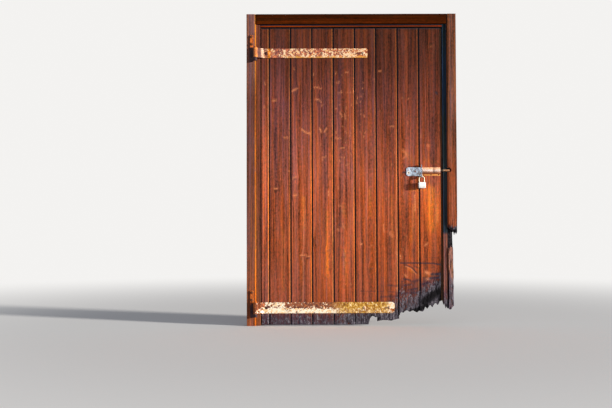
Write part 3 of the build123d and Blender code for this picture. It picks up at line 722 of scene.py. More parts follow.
def hand_planed(amount=0.0006, seed=0, along=2):
    """Slight unevenness of an old timber face."""
    stretch, fine = np.full(3, 38.0), np.full(3, 210.0)
    stretch[along], fine[along] = 2.2, 9

    def wear(points):
        return amount * (1 + 0.75 * layered(points, stretch, seed) + 0.35 * noise(points, fine, seed))
    return wear


def bar(node, slot, material, axis="Z", step=0.006, rows=0.014, seed=0, amount=0.0006, span=None,
        bend=None):
    """Squared timber that fills the box of its CAD node, or only its span along the axis."""
    turn = -1 if axis == "X" else 1
    (u0, v0, w0), (u1, v1, w1) = (np.array(corner)[::turn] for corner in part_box(node))
    if span:
        w0, w1 = span
    section = walk(cut_box(u0, v0, u1, v1, SOFT, SOFT, SOFT, SOFT), step)
    wear = hand_planed(amount, seed, 0 if axis == "X" else 2)
    shell = prism(section, spaced(w0, w1, step=rows), axis, edge=SOFT, wear=wear, bend=bend)
    return timber(node, [shell], slot, material, seed, axis)


def surface(node, starts, direction, otherwise):
    """Coordinate along the direction where rays from the starts meet a CAD node, or else a given one."""
    mesh = nodes[node].data
    tree = BVHTree.FromPolygons([v.co for v in mesh.vertices], [p.vertices for p in mesh.polygons])
    axis = int(np.flatnonzero(direction)[0])
    found = [tree.ray_cast(Vector(start), Vector(direction))[0] for start in starts]
    return np.array([otherwise if place is None else place[axis] for place in found])


def arris_wear(seed, edge_x):
    """Planing marks, with a few knocks on the chamfered arris."""
    plane = hand_planed(0.0007, seed)

    def wear(points):
        near = np.exp(-((points[:, 0] - edge_x) / 0.012) ** 2) * (points[:, 1] < FRONT_Y + 0.014)
        knocks = smooth(noise(points, (60, 60, 16), seed + 3), 0.35, 0.8)
        return plane(points) + 0.0022 * near * knocks
    return wear


# Left post
section = walk(cut_box(-POST_OUT, FRONT_Y, -POST_IN, BACK_Y, SOFT, ARRIS, SOFT, SOFT), 0.004)
shell = prism(section, spaced(0, POST_TOP, step=0.012), edge=SOFT, wear=arris_wear(1, -POST_IN))
mesh, co = timber("left_post", [shell], "post_wood", left_post_paint, 1)
arris = -POST_IN - ARRIS - FRONT_Y
# Painted highlight: the chamfer of the inner arris, which faces the lamp, is marked glow to be brightened and
# turned orange.
chamfer = smooth(co[:, 0] - co[:, 1], arris - 0.004, arris - 0.002)
mark(mesh, "glow", chamfer * (co[:, 1] < FRONT_Y + ARRIS + 0.001))

# Right post, rotted off above the foot. It, its remnant and their dark core follow the CAD node, whose
# broken ends are found by rays in its front that start between them.
RAY_Y = -0.018
BREAK_Z = 0.565
section = walk(cut_box(POST_IN, FRONT_Y, POST_OUT, BACK_Y, ARRIS, SOFT, SOFT, SOFT), 0.003)
inner = np.clip(section[:, 0], POST_IN + 0.0008, POST_OUT - 0.0008)
ends = surface("right_post", [(x, RAY_Y, BREAK_Z) for x in inner], UP, 0.62)
fibres = flat(section)
ends += 0.012 * (1 + noise(fibres, 330, 2)) + 0.018 * smooth(noise(fibres, 90, 5), 0, 0.7)
foot = ends.min()
planed = arris_wear(2, POST_IN)


def post_wear(points):
    """Sound above, fibrous and eroded towards the rotten end."""
    rot = smooth(-points[:, 2], -0.86, -0.62)
    grooves = np.abs(noise(points, (260, 260, 14), 4))
    knocks = smooth(noise(points, (50, 50, 9), 9), 0.25, 0.7)
    return planed(points) + rot * (0.0035 * grooves + 0.003 * knocks)


# Outline of the pocket for the tip of the bolt, across from the post's edge and up from the rod
POCKET = [(-0.01, -0.012), (0.018, -0.01), (0.027, -0.003), (0.025, 0.011), (0.015, 0.02), (-0.01, 0.017)]
ROD_Z = 1.022
POCKET_Y = FRONT_Y + 0.0165


def in_pocket(points):
    """1 within the outline of the pocket, 0 outside it."""
    across, up = points[:, 0] - POST_IN, points[:, 2] - ROD_Z
    inside = np.full(len(points), 1.0)
    for (ax, az), (bx, bz) in zip(POCKET, POCKET[1:] + POCKET[:1]):
        length = math.hypot(bx - ax, bz - az)
        inside = np.minimum(inside, ((bx - ax) * (up - az) - (bz - az) * (across - ax)) / length)
    return smooth(inside + 0.0015 * noise(points, 240, 14), 0, 0.003) * (points[:, 1] < POCKET_Y + 0.001)


def post_bend(points):
    """Sinks the pocket into the front of the post."""
    points[:, 1] = np.maximum(points[:, 1], points[:, 1] + (POCKET_Y - points[:, 1]) * in_pocket(points))
    return points


shell = prism(section, spaced(foot, POST_TOP, (foot, 0.8, 0.005), (1, 1.05, 0.002), step=0.012),
              low=ends - foot, reach=0.25, edge=SOFT, wear=post_wear, bend=post_bend)

left_edge, right_edge = POST_IN + 0.004, POST_IN + 0.04
section = walk([(left_edge, FRONT_Y + 0.006), (right_edge, FRONT_Y + 0.006), (right_edge, BACK_Y),
                (left_edge, BACK_Y)], 0.003)
inner = np.clip(section[:, 0], left_edge + 0.0035, right_edge - 0.006)
fibres = flat(section)
lows = surface("right_post", [(x, RAY_Y, 0) for x in inner], UP, 0.11)
lows += 0.01 * (1 + noise(fibres, 300, 7))
highs = surface("right_post", [(x, RAY_Y, BREAK_Z + 0.001) for x in inner], (0, 0, -1), 0.5)
highs -= 0.012 * (1 + noise(fibres, 300, 8))


def remnant_wear(points):
    """Splintered all over."""
    grooves = np.abs(noise(points, (240, 240, 12), 6))
    knocks = smooth(noise(points, (70, 70, 22), 3), 0.1, 0.7)
    return 0.0035 * grooves + 0.004 * knocks


def remnant_bend(points):
    """Follows the left and right edges of the CAD remnant."""
    levels = np.linspace(0.1, 0.53, 44)
    lefts = surface("right_post", [(0.6, 0, z) for z in levels], (1, 0, 0), left_edge)
    rights = surface("right_post", [(0.75, 0, z) for z in levels], (-1, 0, 0), right_edge)
    share = (points[:, 0] - left_edge) / (right_edge - left_edge)
    left = np.interp(points[:, 2], levels, lefts)
    right = np.interp(points[:, 2], levels, rights)
    points[:, 0] = left + share * (right - left)
    return points


remnant = prism(section, spaced(lows.min(), highs.max(), step=0.006), low=lows - lows.min(),
                high=highs.max() - highs, reach=0.12, edge=0.001, wear=remnant_wear, bend=remnant_bend)
section = walk([(POST_IN + 0.008, 0.019), (POST_IN + 0.038, 0.019), (POST_IN + 0.038, BACK_Y),
                (POST_IN + 0.008, BACK_Y)], 0.003)
core = prism(section, spaced(0.482, 0.69, step=0.006), edge=0.001, wear=remnant_wear)
mesh, co = timber("right_post", [shell, remnant, core], "post_wood", right_post_paint, 2)
rot = 1.4 * smooth(-co[:, 2] + 0.015 * noise(co, (80, 80, 10), 1), -0.665, -0.625)
below = np.arange(len(co)) >= len(shell[0])
reddish = smooth(co[:, 2], 0.24, 0.36) * (co[:, 1] < 0)
rot = np.where(below, 0.72 - 0.48 * reddish, rot)
# Behind the front, the remnant and the core are made black: black rot, and painted shade in the hollow of the
# rotted post.
rot = np.where(below & (co[:, 1] > 0.015), 1.3, rot)
mark(mesh, "rot", rot)
mark(mesh, "tone", below * (0.45 - 0.36 * reddish))
# Painted shade inside the pocket for the bolt's tip.
mark(mesh, "dark", in_pocket(co))

# Head, linings and stops
bar("head", "head_wood", head_paint, "X", seed=3, span=(-POST_IN, POST_IN))
bar("left_lining", "lining_wood", lining_paint, seed=4)
mesh, co = bar("head_lining", "lining_wood", head_lining_paint, "X", step=0.002, seed=5)
low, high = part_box("head_lining")
# Painted shade: a dark band along the top of the head lining under the head, and a dark lower edge over the
# gap above the leaf.
shadow = smooth(co[:, 2], high.z - 0.0105, high.z - 0.0085)
mark(mesh, "dark", np.maximum(shadow, smooth(low.z + 0.003 - co[:, 2], 0, 0.002)))
for node, axis, seed in (("left_stop", "Z", 6), ("right_stop", "Z", 7), ("head_stop", "X", 8)):
    bar(node, "stop_wood", hidden_paint, axis, rows=0.03, seed=seed)

# Right lining, rotted short at the foot
low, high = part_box("right_lining")
section = walk([(low.x + SOFT, low.y), (high.x, low.y), (high.x, high.y), (low.x, high.y),
                (low.x, low.y + SOFT)], 0.003)
inner = np.clip(section[:, 0], low.x + 0.001, high.x - 0.001)
ends = surface("right_lining", [(x, 0, 0) for x in inner], UP, 0.12)
ends += 0.008 * (1 + noise(flat(section), 320, 12))
shell = prism(section, spaced(ends.min(), high.z, (0, 0.4, 0.006), step=0.014), low=ends - ends.min(),
              reach=0.2, edge=0.001, wear=hand_planed(0.0008, 9))
mesh, co = timber("right_lining", [shell], "lining_wood", shade_lining_paint, 9)
mark(mesh, "rot", 0.9 * smooth(-co[:, 2], -0.3, -0.1))

# Ledges and braces on the back
bar("top_ledge", "ledge_wood", hidden_paint, "X", seed=10, rows=0.02)
bar("middle_ledge", "ledge_wood", hidden_paint, "X", seed=11, rows=0.02)
low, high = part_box("bottom_ledge")


def ledge_bend(points):
    """Lower edge as far up as it has rotted on the CAD ledge."""
    xs = np.linspace(low.x + 0.001, high.x - 0.001, 160)
    under = surface("bottom_ledge", [(x, 0.018, 0) for x in xs], UP, low.z)
    edge = np.interp(points[:, 0], xs, under)
    share = (points[:, 2] - low.z) / (high.z - low.z)
    points[:, 2] = edge + share * (high.z - edge)
    return points


mesh, co = bar("bottom_ledge", "ledge_wood", hidden_paint, "X", step=0.005, rows=0.008, seed=12,
               amount=0.0007, bend=ledge_bend)
mark(mesh, "rot", smooth(co[:, 0], 0.25, 0.5) * smooth(-co[:, 2], -0.22, -0.12))

BRACE_RUN = 0.9
for node in ("lower_brace", "upper_brace"):
    low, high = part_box(node)
    right = high.x - BRACE_RUN
    section = walk([(low.x, low.y), (right, low.y), (right, high.y - SOFT), (right - 2 * SOFT, high.y),
                    (low.x + 2 * SOFT, high.y), (low.x, high.y - SOFT)], 0.01)

    def lean(points, low=low, high=high):
        points[:, 0] += (points[:, 2] - low.z) / (high.z - low.z) * BRACE_RUN
        return points

    shell = prism(section, spaced(low.z, high.z, step=0.014), edge=0.0008, wear=hand_planed(0.0006, 13),
                  bend=lean)
    mesh, co = timber(node, [shell], "ledge_wood", hidden_paint)
    slope = math.atan2(high.z - low.z, BRACE_RUN)
    along = co[:, 0] * math.cos(slope) + co[:, 2] * math.sin(slope)
    across = co[:, 0] * math.sin(slope) - co[:, 2] * math.cos(slope)
    mark(mesh, "grain", np.stack([across + 3, co[:, 1], along], 1))


# Boards of the leaf. Places are points in the photograph.

# Knots: place, half width and half height in mm
KNOTS = [
    (294.5, 90, 12, 7), (274.5, 100.3, 11, 6), (317.5, 88, 14, 5), (318.5, 100.5, 13, 7),
    (285.8, 137.7, 12, 4), (321, 131, 8, 12), (338, 82.5, 8, 5), (341, 116, 9, 5), (342, 148, 10, 4),
    (379.9, 71.2, 6, 5), (373.5, 79.3, 6, 4), (361, 96.5, 10, 8), (380, 111.5, 9, 5), (392, 126.5, 11, 5),
    (428, 145.8, 10, 8), (275.6, 188.4, 10, 7), (295, 195.5, 10, 8), (294, 177.7, 12, 6),
    (304.5, 255.5, 14, 8), (316.5, 242, 16, 10), (328.5, 250, 16, 9), (361.2, 244, 7, 6),
    (426, 244.5, 10, 8), (391.5, 234.5, 11, 9), (372, 268, 14, 7), (431, 46.5, 12, 8), (344.5, 254.7, 6, 6),
]

# Strokes: half width in mm, strength, then the x and y of each point. Pale scrapes come first.
SCARS = [
    (5, 0.75, 292, 91.5, 294, 89.6, 297.2, 88.8), (5.5, 0.6, 272.5, 100.6, 276, 100.2),
    (4.5, 0.5, 314.2, 87.6, 318, 87.4, 321, 88.4), (5, 0.55, 315.6, 99, 319, 99.8, 321, 102),
    (5, 0.9, 301.7, 129.4, 305, 132, 310, 133.8), (5, 0.7, 319.6, 128.4, 321.2, 132),
    (5, 0.7, 326.6, 128.4, 324.6, 131.6), (4.8, 0.7, 284, 137.7, 287.8, 137.7),
    (4.5, 0.45, 336.5, 82.6, 339.5, 82.2), (4.5, 0.4, 338, 93.2, 340.6, 93),
    (4.5, 0.4, 345.5, 72.5, 348, 72), (5.5, 0.4, 340, 112, 342, 117), (5.5, 0.35, 344.5, 114, 345.5, 119),
    (4.5, 0.45, 336, 138.5, 341, 138), (4.5, 0.5, 340.5, 148, 344, 148), (4.5, 0.4, 345, 132, 347, 132.6),
    (5, 0.5, 322, 158, 326, 156.5), (4.5, 0.6, 378.9, 71.2, 380.9, 71.2), (5, 0.5, 391, 126.4, 394, 126.6),
    (7, 0.4, 403, 150, 406.5, 153.5, 404, 158), (5.5, 0.6, 427, 145.6, 429, 146),
    (5.2, 0.75, 274.3, 188.2, 277, 188.6), (4.8, 0.5, 292.5, 179, 296, 176.6),
    (6, 0.65, 294, 195.5, 296.6, 195.2), (3.5, 1, 328.5, 191, 328.6, 196),
    (4.5, 0.6, 300.5, 255, 304.5, 255.6, 309.5, 256.6), (5, 0.5, 339, 205.5, 341, 206),
    (5, 0.5, 342, 210.5, 343.5, 212), (5.5, 0.55, 337.5, 229.5, 338.5, 230), (5, 0.5, 342.5, 224, 344, 228),
    (4.5, 0.8, 344.2, 253.5, 344.6, 256), (4, 0.55, 344, 262, 344.4, 267),
    (4.8, 0.75, 414.6, 195, 415.2, 203, 415, 210.5), (4.5, 0.5, 383.5, 224, 384, 232),
    (7.5, 0.4, 390, 232, 392, 236.5), (5.5, 0.75, 360.8, 243.6, 361.6, 244.4),
    (5.2, 0.65, 425, 245.4, 427.5, 243.4), (4.5, 0.6, 400.2, 255, 400.8, 258.5),
    (5, 0.5, 396, 252.5, 397, 255), (6.5, 0.6, 405, 275, 406.5, 276.5),
    (3.4, 0.55, 405.6, 266.3, 411, 268.6, 416.2, 274.4), (10.5, 0.75, 426, 272.4, 429.2, 273.2),
    (9, 0.75, 426.6, 279.4, 429.4, 278.8), (4.5, 0.5, 396.6, 287.5, 397.2, 292),
    (5.5, 0.35, 436.5, 205, 437.5, 222), (5.5, 0.35, 430.2, 188, 431, 203),
    (5, 0.4, 346, 165.5, 348.5, 164), (4, 0.3, 369, 246.5, 372.5, 245.5),
]
chance = np.random.default_rng(8)
for left, right, above, under, count in ((334, 366, 70, 158, 44), (262, 440, 62, 285, 40)):
    for x, y, across, down, strength in chance.uniform((left, above, -1, -2.4, 0.25),
                                                       (right, under, 1, 2.4, 0.6), (count, 5)):
        SCARS.append((3.4, strength, x, y, x + across, y + down))
# Dark lines. The strokes above the tail plate and at its left end are painted shadows of the plate.
DARKS = [
    (7.5, 1, 436.3, 92.6, 436.9, 93.4), (4.6, 1, 400.6, 263.1, 415, 263, 432, 263.3, 441, 264.6),
    (3.6, 0.9, 405.6, 265.1, 411.4, 267.3, 416.8, 273.2), (5.6, 0.9, 403.5, 279, 407, 279.4, 410.2, 280.4),
    (8.2, 0.9, 431.6, 274.2, 440.6, 273.9), (7.2, 0.85, 430, 278.2, 440, 277.6),
    (3.4, 0.8, 408.5, 166.9, 416.6, 166.9), (5, 0.9, 402.8, 172.5, 406, 172.9),
    (4, 0.5, 402, 281.6, 405, 281), (3, 0.5, 388, 291.6, 398, 292.4), (4, 0.6, 414, 266, 418, 268),
    (9.5, 0.75, 423, 284, 429, 282.4), (6, 0.65, 404, 285.6, 412, 284), (6, 0.65, 408, 290.2, 417, 288.6),
    (2.8, 0.45, 360, 291.2, 372, 291.4, 384, 291.3), (3, 0.6, 279.2, 219, 279.3, 228, 279, 238),
    (3.4, 0.5, 302, 256.8, 309.5, 258.2), (7, 0.35, 315, 240.6, 318.4, 243.2),
    (3.2, 0.55, 325, 252.4, 332, 248.6), (8, 0.35, 339, 224, 341, 226),
    (3.5, 0.5, 293, 178.8, 295.6, 179.4), (3.5, 0.4, 369, 269.6, 374, 268.4),
    (3.5, 0.4, 291.6, 92.4, 293.4, 92), (2.8, 0.4, 386, 205, 386.2, 214), (3.2, 0.5, 417, 209, 417.4, 216),
    (2.8, 0.4, 364.8, 147, 365.2, 156), (2.4, 0.25, 424, 258, 439, 257.4), (2.4, 0.3, 424, 268, 438, 267.6),
    (11, 0.65, 411, 281.8, 418.4, 280.2), (10, 0.55, 424.4, 278, 425.6, 288),
    (10, 0.6, 401, 293.4, 418, 292.6), (10, 0.6, 433, 285.6, 440.6, 282.6),
    (6, 0.5, 387.4, 285.2, 398, 286.2), (8, 0.5, 381, 297, 397.4, 296.2),
]
# Stretches where the stain is brighter and more orange
GLOWS = [
    (10, 1, 411, 189.8, 419, 189.4, 427, 190), (30, 1.6, 431, 190, 432, 228),
    (20, 1.1, 436.5, 196, 437, 224), (16, 0.7, 414, 206, 412, 240), (13, 0.9, 303.6, 198, 304, 228),
    (10, 0.6, 303, 236, 302, 300), (12, 0.9, 326.6, 212, 327.4, 276), (11, 0.9, 369.8, 190, 370.6, 216),
    (12, 0.6, 392, 196, 393, 250), (9, 0.6, 283.5, 230, 284, 290), (12, 0.6, 343, 205, 344.5, 216),
    (7, 0.8, 345, 250, 346, 285), (18, 0.6, 405, 152, 414, 162), (10, 0.5, 425, 160, 436, 163),
    (9, 0.9, 407, 268, 413, 272), (10, 0.7, 424, 276, 434, 275), (6, 0.5, 330, 78, 330.5, 60),
]
# Where the rot is painted black
BLACKS = [
    (34, 1, 441, 289, 431, 295, 423, 301), (15, 1, 441.6, 283, 441.6, 304),
    (17, 1, 426, 306, 414, 311, 401, 315.5), (9, 0.8, 424, 290, 420.6, 304), (12, 0.8, 372, 316, 378, 319),
    (5, 0.8, 398.6, 300, 398.8, 314),
]

# Lighter and darker areas: centre, half width and half height in pixels, amount
AREAS = [
    (432, 205, 8, 28, 0.66), (418, 193, 11, 6, 0.25), (406, 155, 6, 12, 0.3), (428, 60, 14, 50, -0.16),
    (303, 215, 4, 26, 0.16), (325, 240, 4, 30, 0.2), (384, 50, 16, 45, -0.17), (334, 150, 20, 26, 0.16),
    (263, 200, 3, 90, 0.12), (270, 250, 9, 22, -0.18), (410, 252, 8, 14, -0.16), (432, 262, 9, 10, -0.14),
    (386, 262, 10, 22, -0.14), (345, 240, 8, 30, 0.06), (298, 235, 3, 30, -0.14), (400, 215, 5, 22, 0.12),
    (372, 200, 6, 30, 0.12), (330, 60, 20, 30, 0.03), (410, 288, 9, 8, -0.25), (431, 140, 9, 30, -0.12),
    (386, 130, 8, 30, -0.09), (409, 206, 8, 22, 0.14),
]
BOARD_TONES = [0.1, -0.1, 0.0, 0.04, 0.02, 0.0, -0.02, 0.03, 0.0]

# Height of the rot on the leaf, from the hinge side to the lock side
ROT_X = [-0.6, -0.44, -0.1, 0.05, 0.21, 0.27, 0.31, 0.36, 0.43, 0.46, 0.52, 0.59]
ROT_Z = [0.06, 0.062, 0.066, 0.08, 0.082, 0.08, 0.086, 0.1, 0.106, 0.135, 0.192, 0.222]


def field(x, z, strokes):
    """Strength of the strokes at each place."""
    total = np.zeros(len(x))
    for width, strength, *run in strokes:
        places = np.array([on_leaf(*point) for point in zip(run[::2], run[1::2])])
        nearest = np.full(len(x), 9.0)
        for a, b in zip(places[:-1], places[1:]):
            along = ((x - a[0]) * (b[0] - a[0]) + (z - a[1]) * (b[1] - a[1])) / ((b - a) ** 2).sum()
            along = np.clip(along, 0, 1)
            distance = np.hypot(x - a[0] - along * (b[0] - a[0]), z - a[1] - along * (b[1] - a[1]))
            nearest = np.minimum(nearest, distance)
        total = np.maximum(total, strength * np.exp(-(nearest / (width / 1000)) ** 2))
    return total


def leaf_rot(points):
    """0 on sound wood, 1 in the rot, more where it is blackest."""
    x, z = points[:, 0], points[:, 2]
    limit = np.interp(x, ROT_X, ROT_Z)
    limit = limit + 0.022 * layered(points * np.array([1, 0, 1]), (20, 1, 12), 21)
    rot = smooth(limit - z, -0.1 - 0.115 * smooth(x, 0.2, 0.34), 0.045)
    rot = rot * (0.66 + 0.34 * smooth(x, -0.15, 0.05))
    rot = rot + 0.15 * smooth(x, -0.05, 0.35) * smooth(-z, -0.46, -0.22) * (1 - rot)
    return rot * (1 + 0.62 * field(x, z, BLACKS))


def board_wear(number):
    """Planing marks of one board, dents at the dark lines, and holes and grooves in the rot."""
    plane = hand_planed(0.0006, 30 + number)

    def wear(points):
        rot = leaf_rot(points)
        deep = smooth(points[:, 0], 0.1, 0.34) * 0.75 + 0.25
        grooves = np.abs(noise(points, (230, 60, 13), 24))
        holes = smooth(noise(points, (60, 30, 18), 26), 0.15, 0.75)
        front = points[:, 1] < LEAF_Y + 0.004
        dents = field(points[:, 0], points[:, 2], DARKS) * 0.0012 * front
        return plane(points) + dents + rot * deep * (0.0005 + 0.0035 * grooves + 0.0055 * holes)
    return wear


# Joints of the boards: V-groove, then reach and thickness of the tongue and of its groove
VEE = 0.0065
TONGUE_OUT, TONGUE = 0.008, 0.0055
GROOVE_IN, GROOVE = 0.0063, 0.0061
chance = np.random.default_rng(5)
for number in range(1, 10):
    node = f"board_{number}"
    low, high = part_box(node)
    first, last = number == 1, number == 9
    near, far = low.x, high.x if last else high.x - TONGUE_OUT
    centre = (LEAF_Y + LEAF_BACK_Y) / 2
    corners = [(near, LEAF_Y + 0.001, 0.002), (near + 0.001, LEAF_Y, 0.0035)] if first else [
        (near, centre - GROOVE / 2, 0.004), (near, LEAF_Y + VEE, 0.002), (near + VEE, LEAF_Y, 0.0035)]
    corners += [(far - 0.001, LEAF_Y, 0.002), (far, LEAF_Y + 0.001, 0.004)] if last else [
        (far - VEE, LEAF_Y, 0.002), (far, LEAF_Y + VEE, 0.004), (far, centre - TONGUE / 2, 0.008),
        (far + TONGUE_OUT, centre - TONGUE / 2, 0.008), (far + TONGUE_OUT, centre + TONGUE / 2, 0.008),
        (far, centre + TONGUE / 2, 0.008)]
    corners += [(far, LEAF_BACK_Y, 0.012), (near, LEAF_BACK_Y, 0.01)]
    if not first:
        corners += [(near, centre + GROOVE / 2, 0.008), (near + GROOVE_IN, centre + GROOVE / 2, 0.008),
                    (near + GROOVE_IN, centre - GROOVE / 2, 0.008)]
    section = walk(corners)
    inner = np.clip(section[:, 0], near + 0.0009, far - 0.0009)
    bottoms = surface(node, [(x, LEAF_BACK_Y - 0.002, -0.05) for x in inner], UP, 0.007)
    bottoms = np.maximum(bottoms, low.z)
    fibres = flat(section)
    frayed = 0.006 * (1 + noise(fibres, (420, 90, 1), 40))
    frayed += 0.01 * smooth(noise(fibres, (130, 60, 1), 41), 0.1, 0.8)
    bottoms += smooth(bottoms, 0.012, 0.05) * frayed
    zones = [(0, 0.31, 0.0038)]
    if number > 6:
        zones.append((0.28, 0.46, 0.0042))
    rows = spaced(bottoms.min(), high.z, *zones, step=0.009)
    shell = prism(section, rows, low=bottoms - bottoms.min(), reach=0.26, edge=0.001, wear=board_wear(number))
    mesh, co = timber(node, [shell], "board_wood", board_paint, sharp=28)
    x, z = co[:, 0], co[:, 2]
    bent = x.copy()
    knotty = np.zeros(len(co))
    for place_x, place_y, wide, tall in KNOTS:
        kx, kz = on_leaf(place_x, place_y)
        if near - 0.02 < kx < far + 0.02:
            across, up = (x - kx) / (wide / 1000), (z - kz) / (tall / 1000)
            bent -= 0.75 * (x - kx) * np.exp(-(across / 2) ** 2 - (up / 4.5) ** 2)
            knotty += np.exp(-across ** 2 - up ** 2)
    pith = (near + far) / 2 + chance.uniform(-0.05, 0.05)
    depth = chance.uniform(0.02, 0.05) + chance.uniform(-0.014, 0.014) * (z - 1)
    ring = np.sqrt((bent - pith) ** 2 + depth ** 2)
    mark(mesh, "grain", np.stack([ring + number * 0.61, 0.45 * bent + co[:, 1] + number * 0.23,
                                  z + number * 0.77], 1))
    face = co[:, 1] < LEAF_Y + VEE + 0.0012
    tone = np.full(len(co), BOARD_TONES[number - 1])
    for place_x, place_y, wide, tall, amount in AREAS:
        ax, az = on_leaf(place_x, place_y)
        tone += amount * np.exp(-((x - ax) / (wide * PIXEL)) ** 2 - ((z - az) / (tall * PIXEL)) ** 2)
    mark(mesh, "tone", np.where(face, tone + 0.1 * knotty, -0.25))
    mark(mesh, "scar", np.where(face, np.maximum(field(x, z, SCARS), 0.15 * np.minimum(knotty, 1)), 0))
    # Painted shade: dark in the V-grooves, on each board's left-facing bevel and deeper in the joint, and
    # along the boards' top ends under the head lining.
    front = co[:, 1] < 0
    sunk = smooth(co[:, 1], LEAF_Y + 0.0004, LEAF_Y + 0.0014) * front
    deep = smooth(co[:, 1], LEAF_Y + 0.0045, LEAF_Y + 0.0065) * front
    groove_shade = np.where(x < near + VEE + 0.001, sunk, deep) * (0.25 if first else 1)
    top = smooth(z, high.z - 0.004, high.z - 0.001)
    damp = 0.5 * smooth(-z, -0.09, -0.05) * smooth(-x, 0.02, 0.16) * face
    lines = np.where(face, field(x, z, DARKS), 0)
    mark(mesh, "dark", np.maximum.reduce([lines, groove_shade, top, damp]))
    # Painted highlight: the right-facing bevel of each V-groove, which faces the lamp, is marked glow to be
    # brightened and turned orange.
    edge = sunk * (x > far - VEE - 0.001) * (0 if last else 1)
    orange = field(x, z, GLOWS) * (0.55 + 0.45 * noise(co, (120, 1, 9), 71))
    mark(mesh, "glow", np.maximum(edge, np.where(face, orange, 0)))
    mark(mesh, "rot", leaf_rot(co))


# Straps: a band along its centre line, cranked out to the pin and rolled round it

PIN_X, PIN_Y = -0.636, -0.0491
EYE_RADIUS = 0.0156
BAND = 0.006
CRANK_START, CRANK_END = -0.5815, -0.6015


def rounded(points, radius, steps=4):
    """Polyline with its inner corners rounded."""
    out = [np.array(points[0], float)]
    for a, b, c in zip(points, points[1:], points[2:]):
        a, b, c = (np.array(p, float) for p in (a, b, c))
        before, after = (a - b) / np.linalg.norm(a - b), (c - b) / np.linalg.norm(c - b)
        for t in np.linspace(0, 1, steps + 1):
            out.append(b + before * radius * (1 - t) ** 2 + after * radius * t ** 2)
    out.append(np.array(points[-1], float))
    return out


def strap(node, length, end_radius, paint, seed):
    """Pitted iron band on the leaf. end_radius rounds the corners of its free end."""
    low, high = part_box(node)
    end = PIN_X + length
    bend_radius = EYE_RADIUS - BAND / 2
    back = PIN_Y + bend_radius
    face = LEAF_Y - BAND / 2
    line = rounded([(end, face), (CRANK_START, face), (CRANK_END, back), (PIN_X + 0.001, back)], 0.006)
    dense = []
    for a, b in zip(line[:-1], line[1:]):
        count = max(1, math.ceil(np.linalg.norm(b - a) / 0.0025))
        dense += [a + (b - a) * k / count for k in range(count)]
    for angle in np.radians(np.arange(90, 397, 9)):
        dense.append(np.array([PIN_X + bend_radius * math.cos(angle), PIN_Y + bend_radius * math.sin(angle)]))
    line = np.array(dense)
    along = np.gradient(line, axis=0)
    along /= np.linalg.norm(along, axis=1)[:, None]
    side = np.stack([-along[:, 1], along[:, 0]], 1) * BAND / 2
    seam = line[-1] + along[-1] * 0.0008
    section = np.concatenate([
        line + side, [seam + side[-1] * 0.6, seam - side[-1] * 0.6],
        (line - side)[::-1], [line[0] - side[0] * 0.6, line[0] + side[0] * 0.6]])
    section[:, 0] = np.minimum(section[:, 0], end)
    past = np.clip(section[:, 0] - (end - end_radius), 0, end_radius)
    corner = end_radius - np.sqrt(end_radius ** 2 - past ** 2)
    lengthwise = section[:, :1] * np.array([1, 0, 0])
    nick = 0.0006 * (1 + noise(lengthwise, 70, seed)) * (section[:, 0] > -0.58)

    def wear(points):
        pits = 0.5 + 0.5 * layered(points, 130, seed)
        return 0.00035 * pits * (points[:, 0] > -0.6)

    shell = prism(section, spaced(low.z, high.z, step=0.0026), low=corner + nick, high=corner + nick,
                  reach=0.5 * (high.z - low.z), edge=0.0008, wear=wear)
    piece(node + "_iron", mesh_of(node + "_iron", [shell], sharp=50), "leaf", "strap_paint", paint, node)


strap("top_strap", length=0.745, end_radius=0.006, paint=top_strap_paint, seed=51)
strap("bottom_strap", length=0.916, end_radius=0.022, paint=bottom_strap_paint, seed=52)


# Coach bolts, screws, nuts and washers. Profiles are (distance along, radius) pairs in m.

INWARDS, OUTWARDS = (0, 1, 0), (0, -1, 0)
CUP = [(0.0045, 0), (0.0044, 0.003), (0.0039, 0.006), (0.0028, 0.0083), (0.001, 0.0098), (0, 0.0099),
       (0, 0.004)]
WASHER = [(0.0016, 0), (0.0016, 0.01), (0.001, 0.0108), (0, 0.0108), (0, 0)]
NUT = [(0.0082, 0), (0.0082, 0.0062), (0.0072, 0.0075), (0.0024, 0.0075), (0.0016, 0.0066), (0.0016, 0)]
COUNTERSUNK = [(0.0004, 0), (0.0004, 0.0032), (-0.0001, 0.004), (-0.003, 0.0022), (-0.003, 0)]
RIVET = [(0.0026, 0), (0.0025, 0.0022), (0.0017, 0.004), (0.0003, 0.0048), (0, 0.0048), (0, 0.003),
         (-0.0028, 0.003), (-0.0028, 0)]
ROUND_HEAD = [(0.0022, 0), (0.0021, 0.0016), (0.0014, 0.003), (0.0002, 0.0036), (-0.0006, 0.0036),
              (-0.0006, 0)]


def cups(name, body, paint, node, places, face_y, end_y):
    """Cup-headed fasteners with a slightly lumpy, rusted surface: heads on a face and shanks to an end."""
    length = end_y - face_y
    profile = CUP + [(0.0005 - length, 0.004), (-length, 0.0034), (-length, 0)]
    mesh = mesh_of(name, [lathe(profile, 22, (x, face_y, z), OUTWARDS) for x, z in places], 45)
    co = points_of(mesh)
    co[:, 1] += 0.0004 * np.abs(layered(co, 420, 61)) * (co[:, 1] < 0)
    mesh.vertices.foreach_set("co", co.ravel())
    mesh.update()
    piece(name, mesh, body, "fastener_iron", paint, node)


def turned(name, body, paint, shapes, places, direction, sharp=32):
    """Fasteners without a CAD node: profiles, each with its number of sides, at every place."""
    parts = [lathe(profile, sides, place, direction) for place in places for profile, sides in shapes]
    piece(name, mesh_of(name, parts, sharp), body, "fastener_iron", paint)


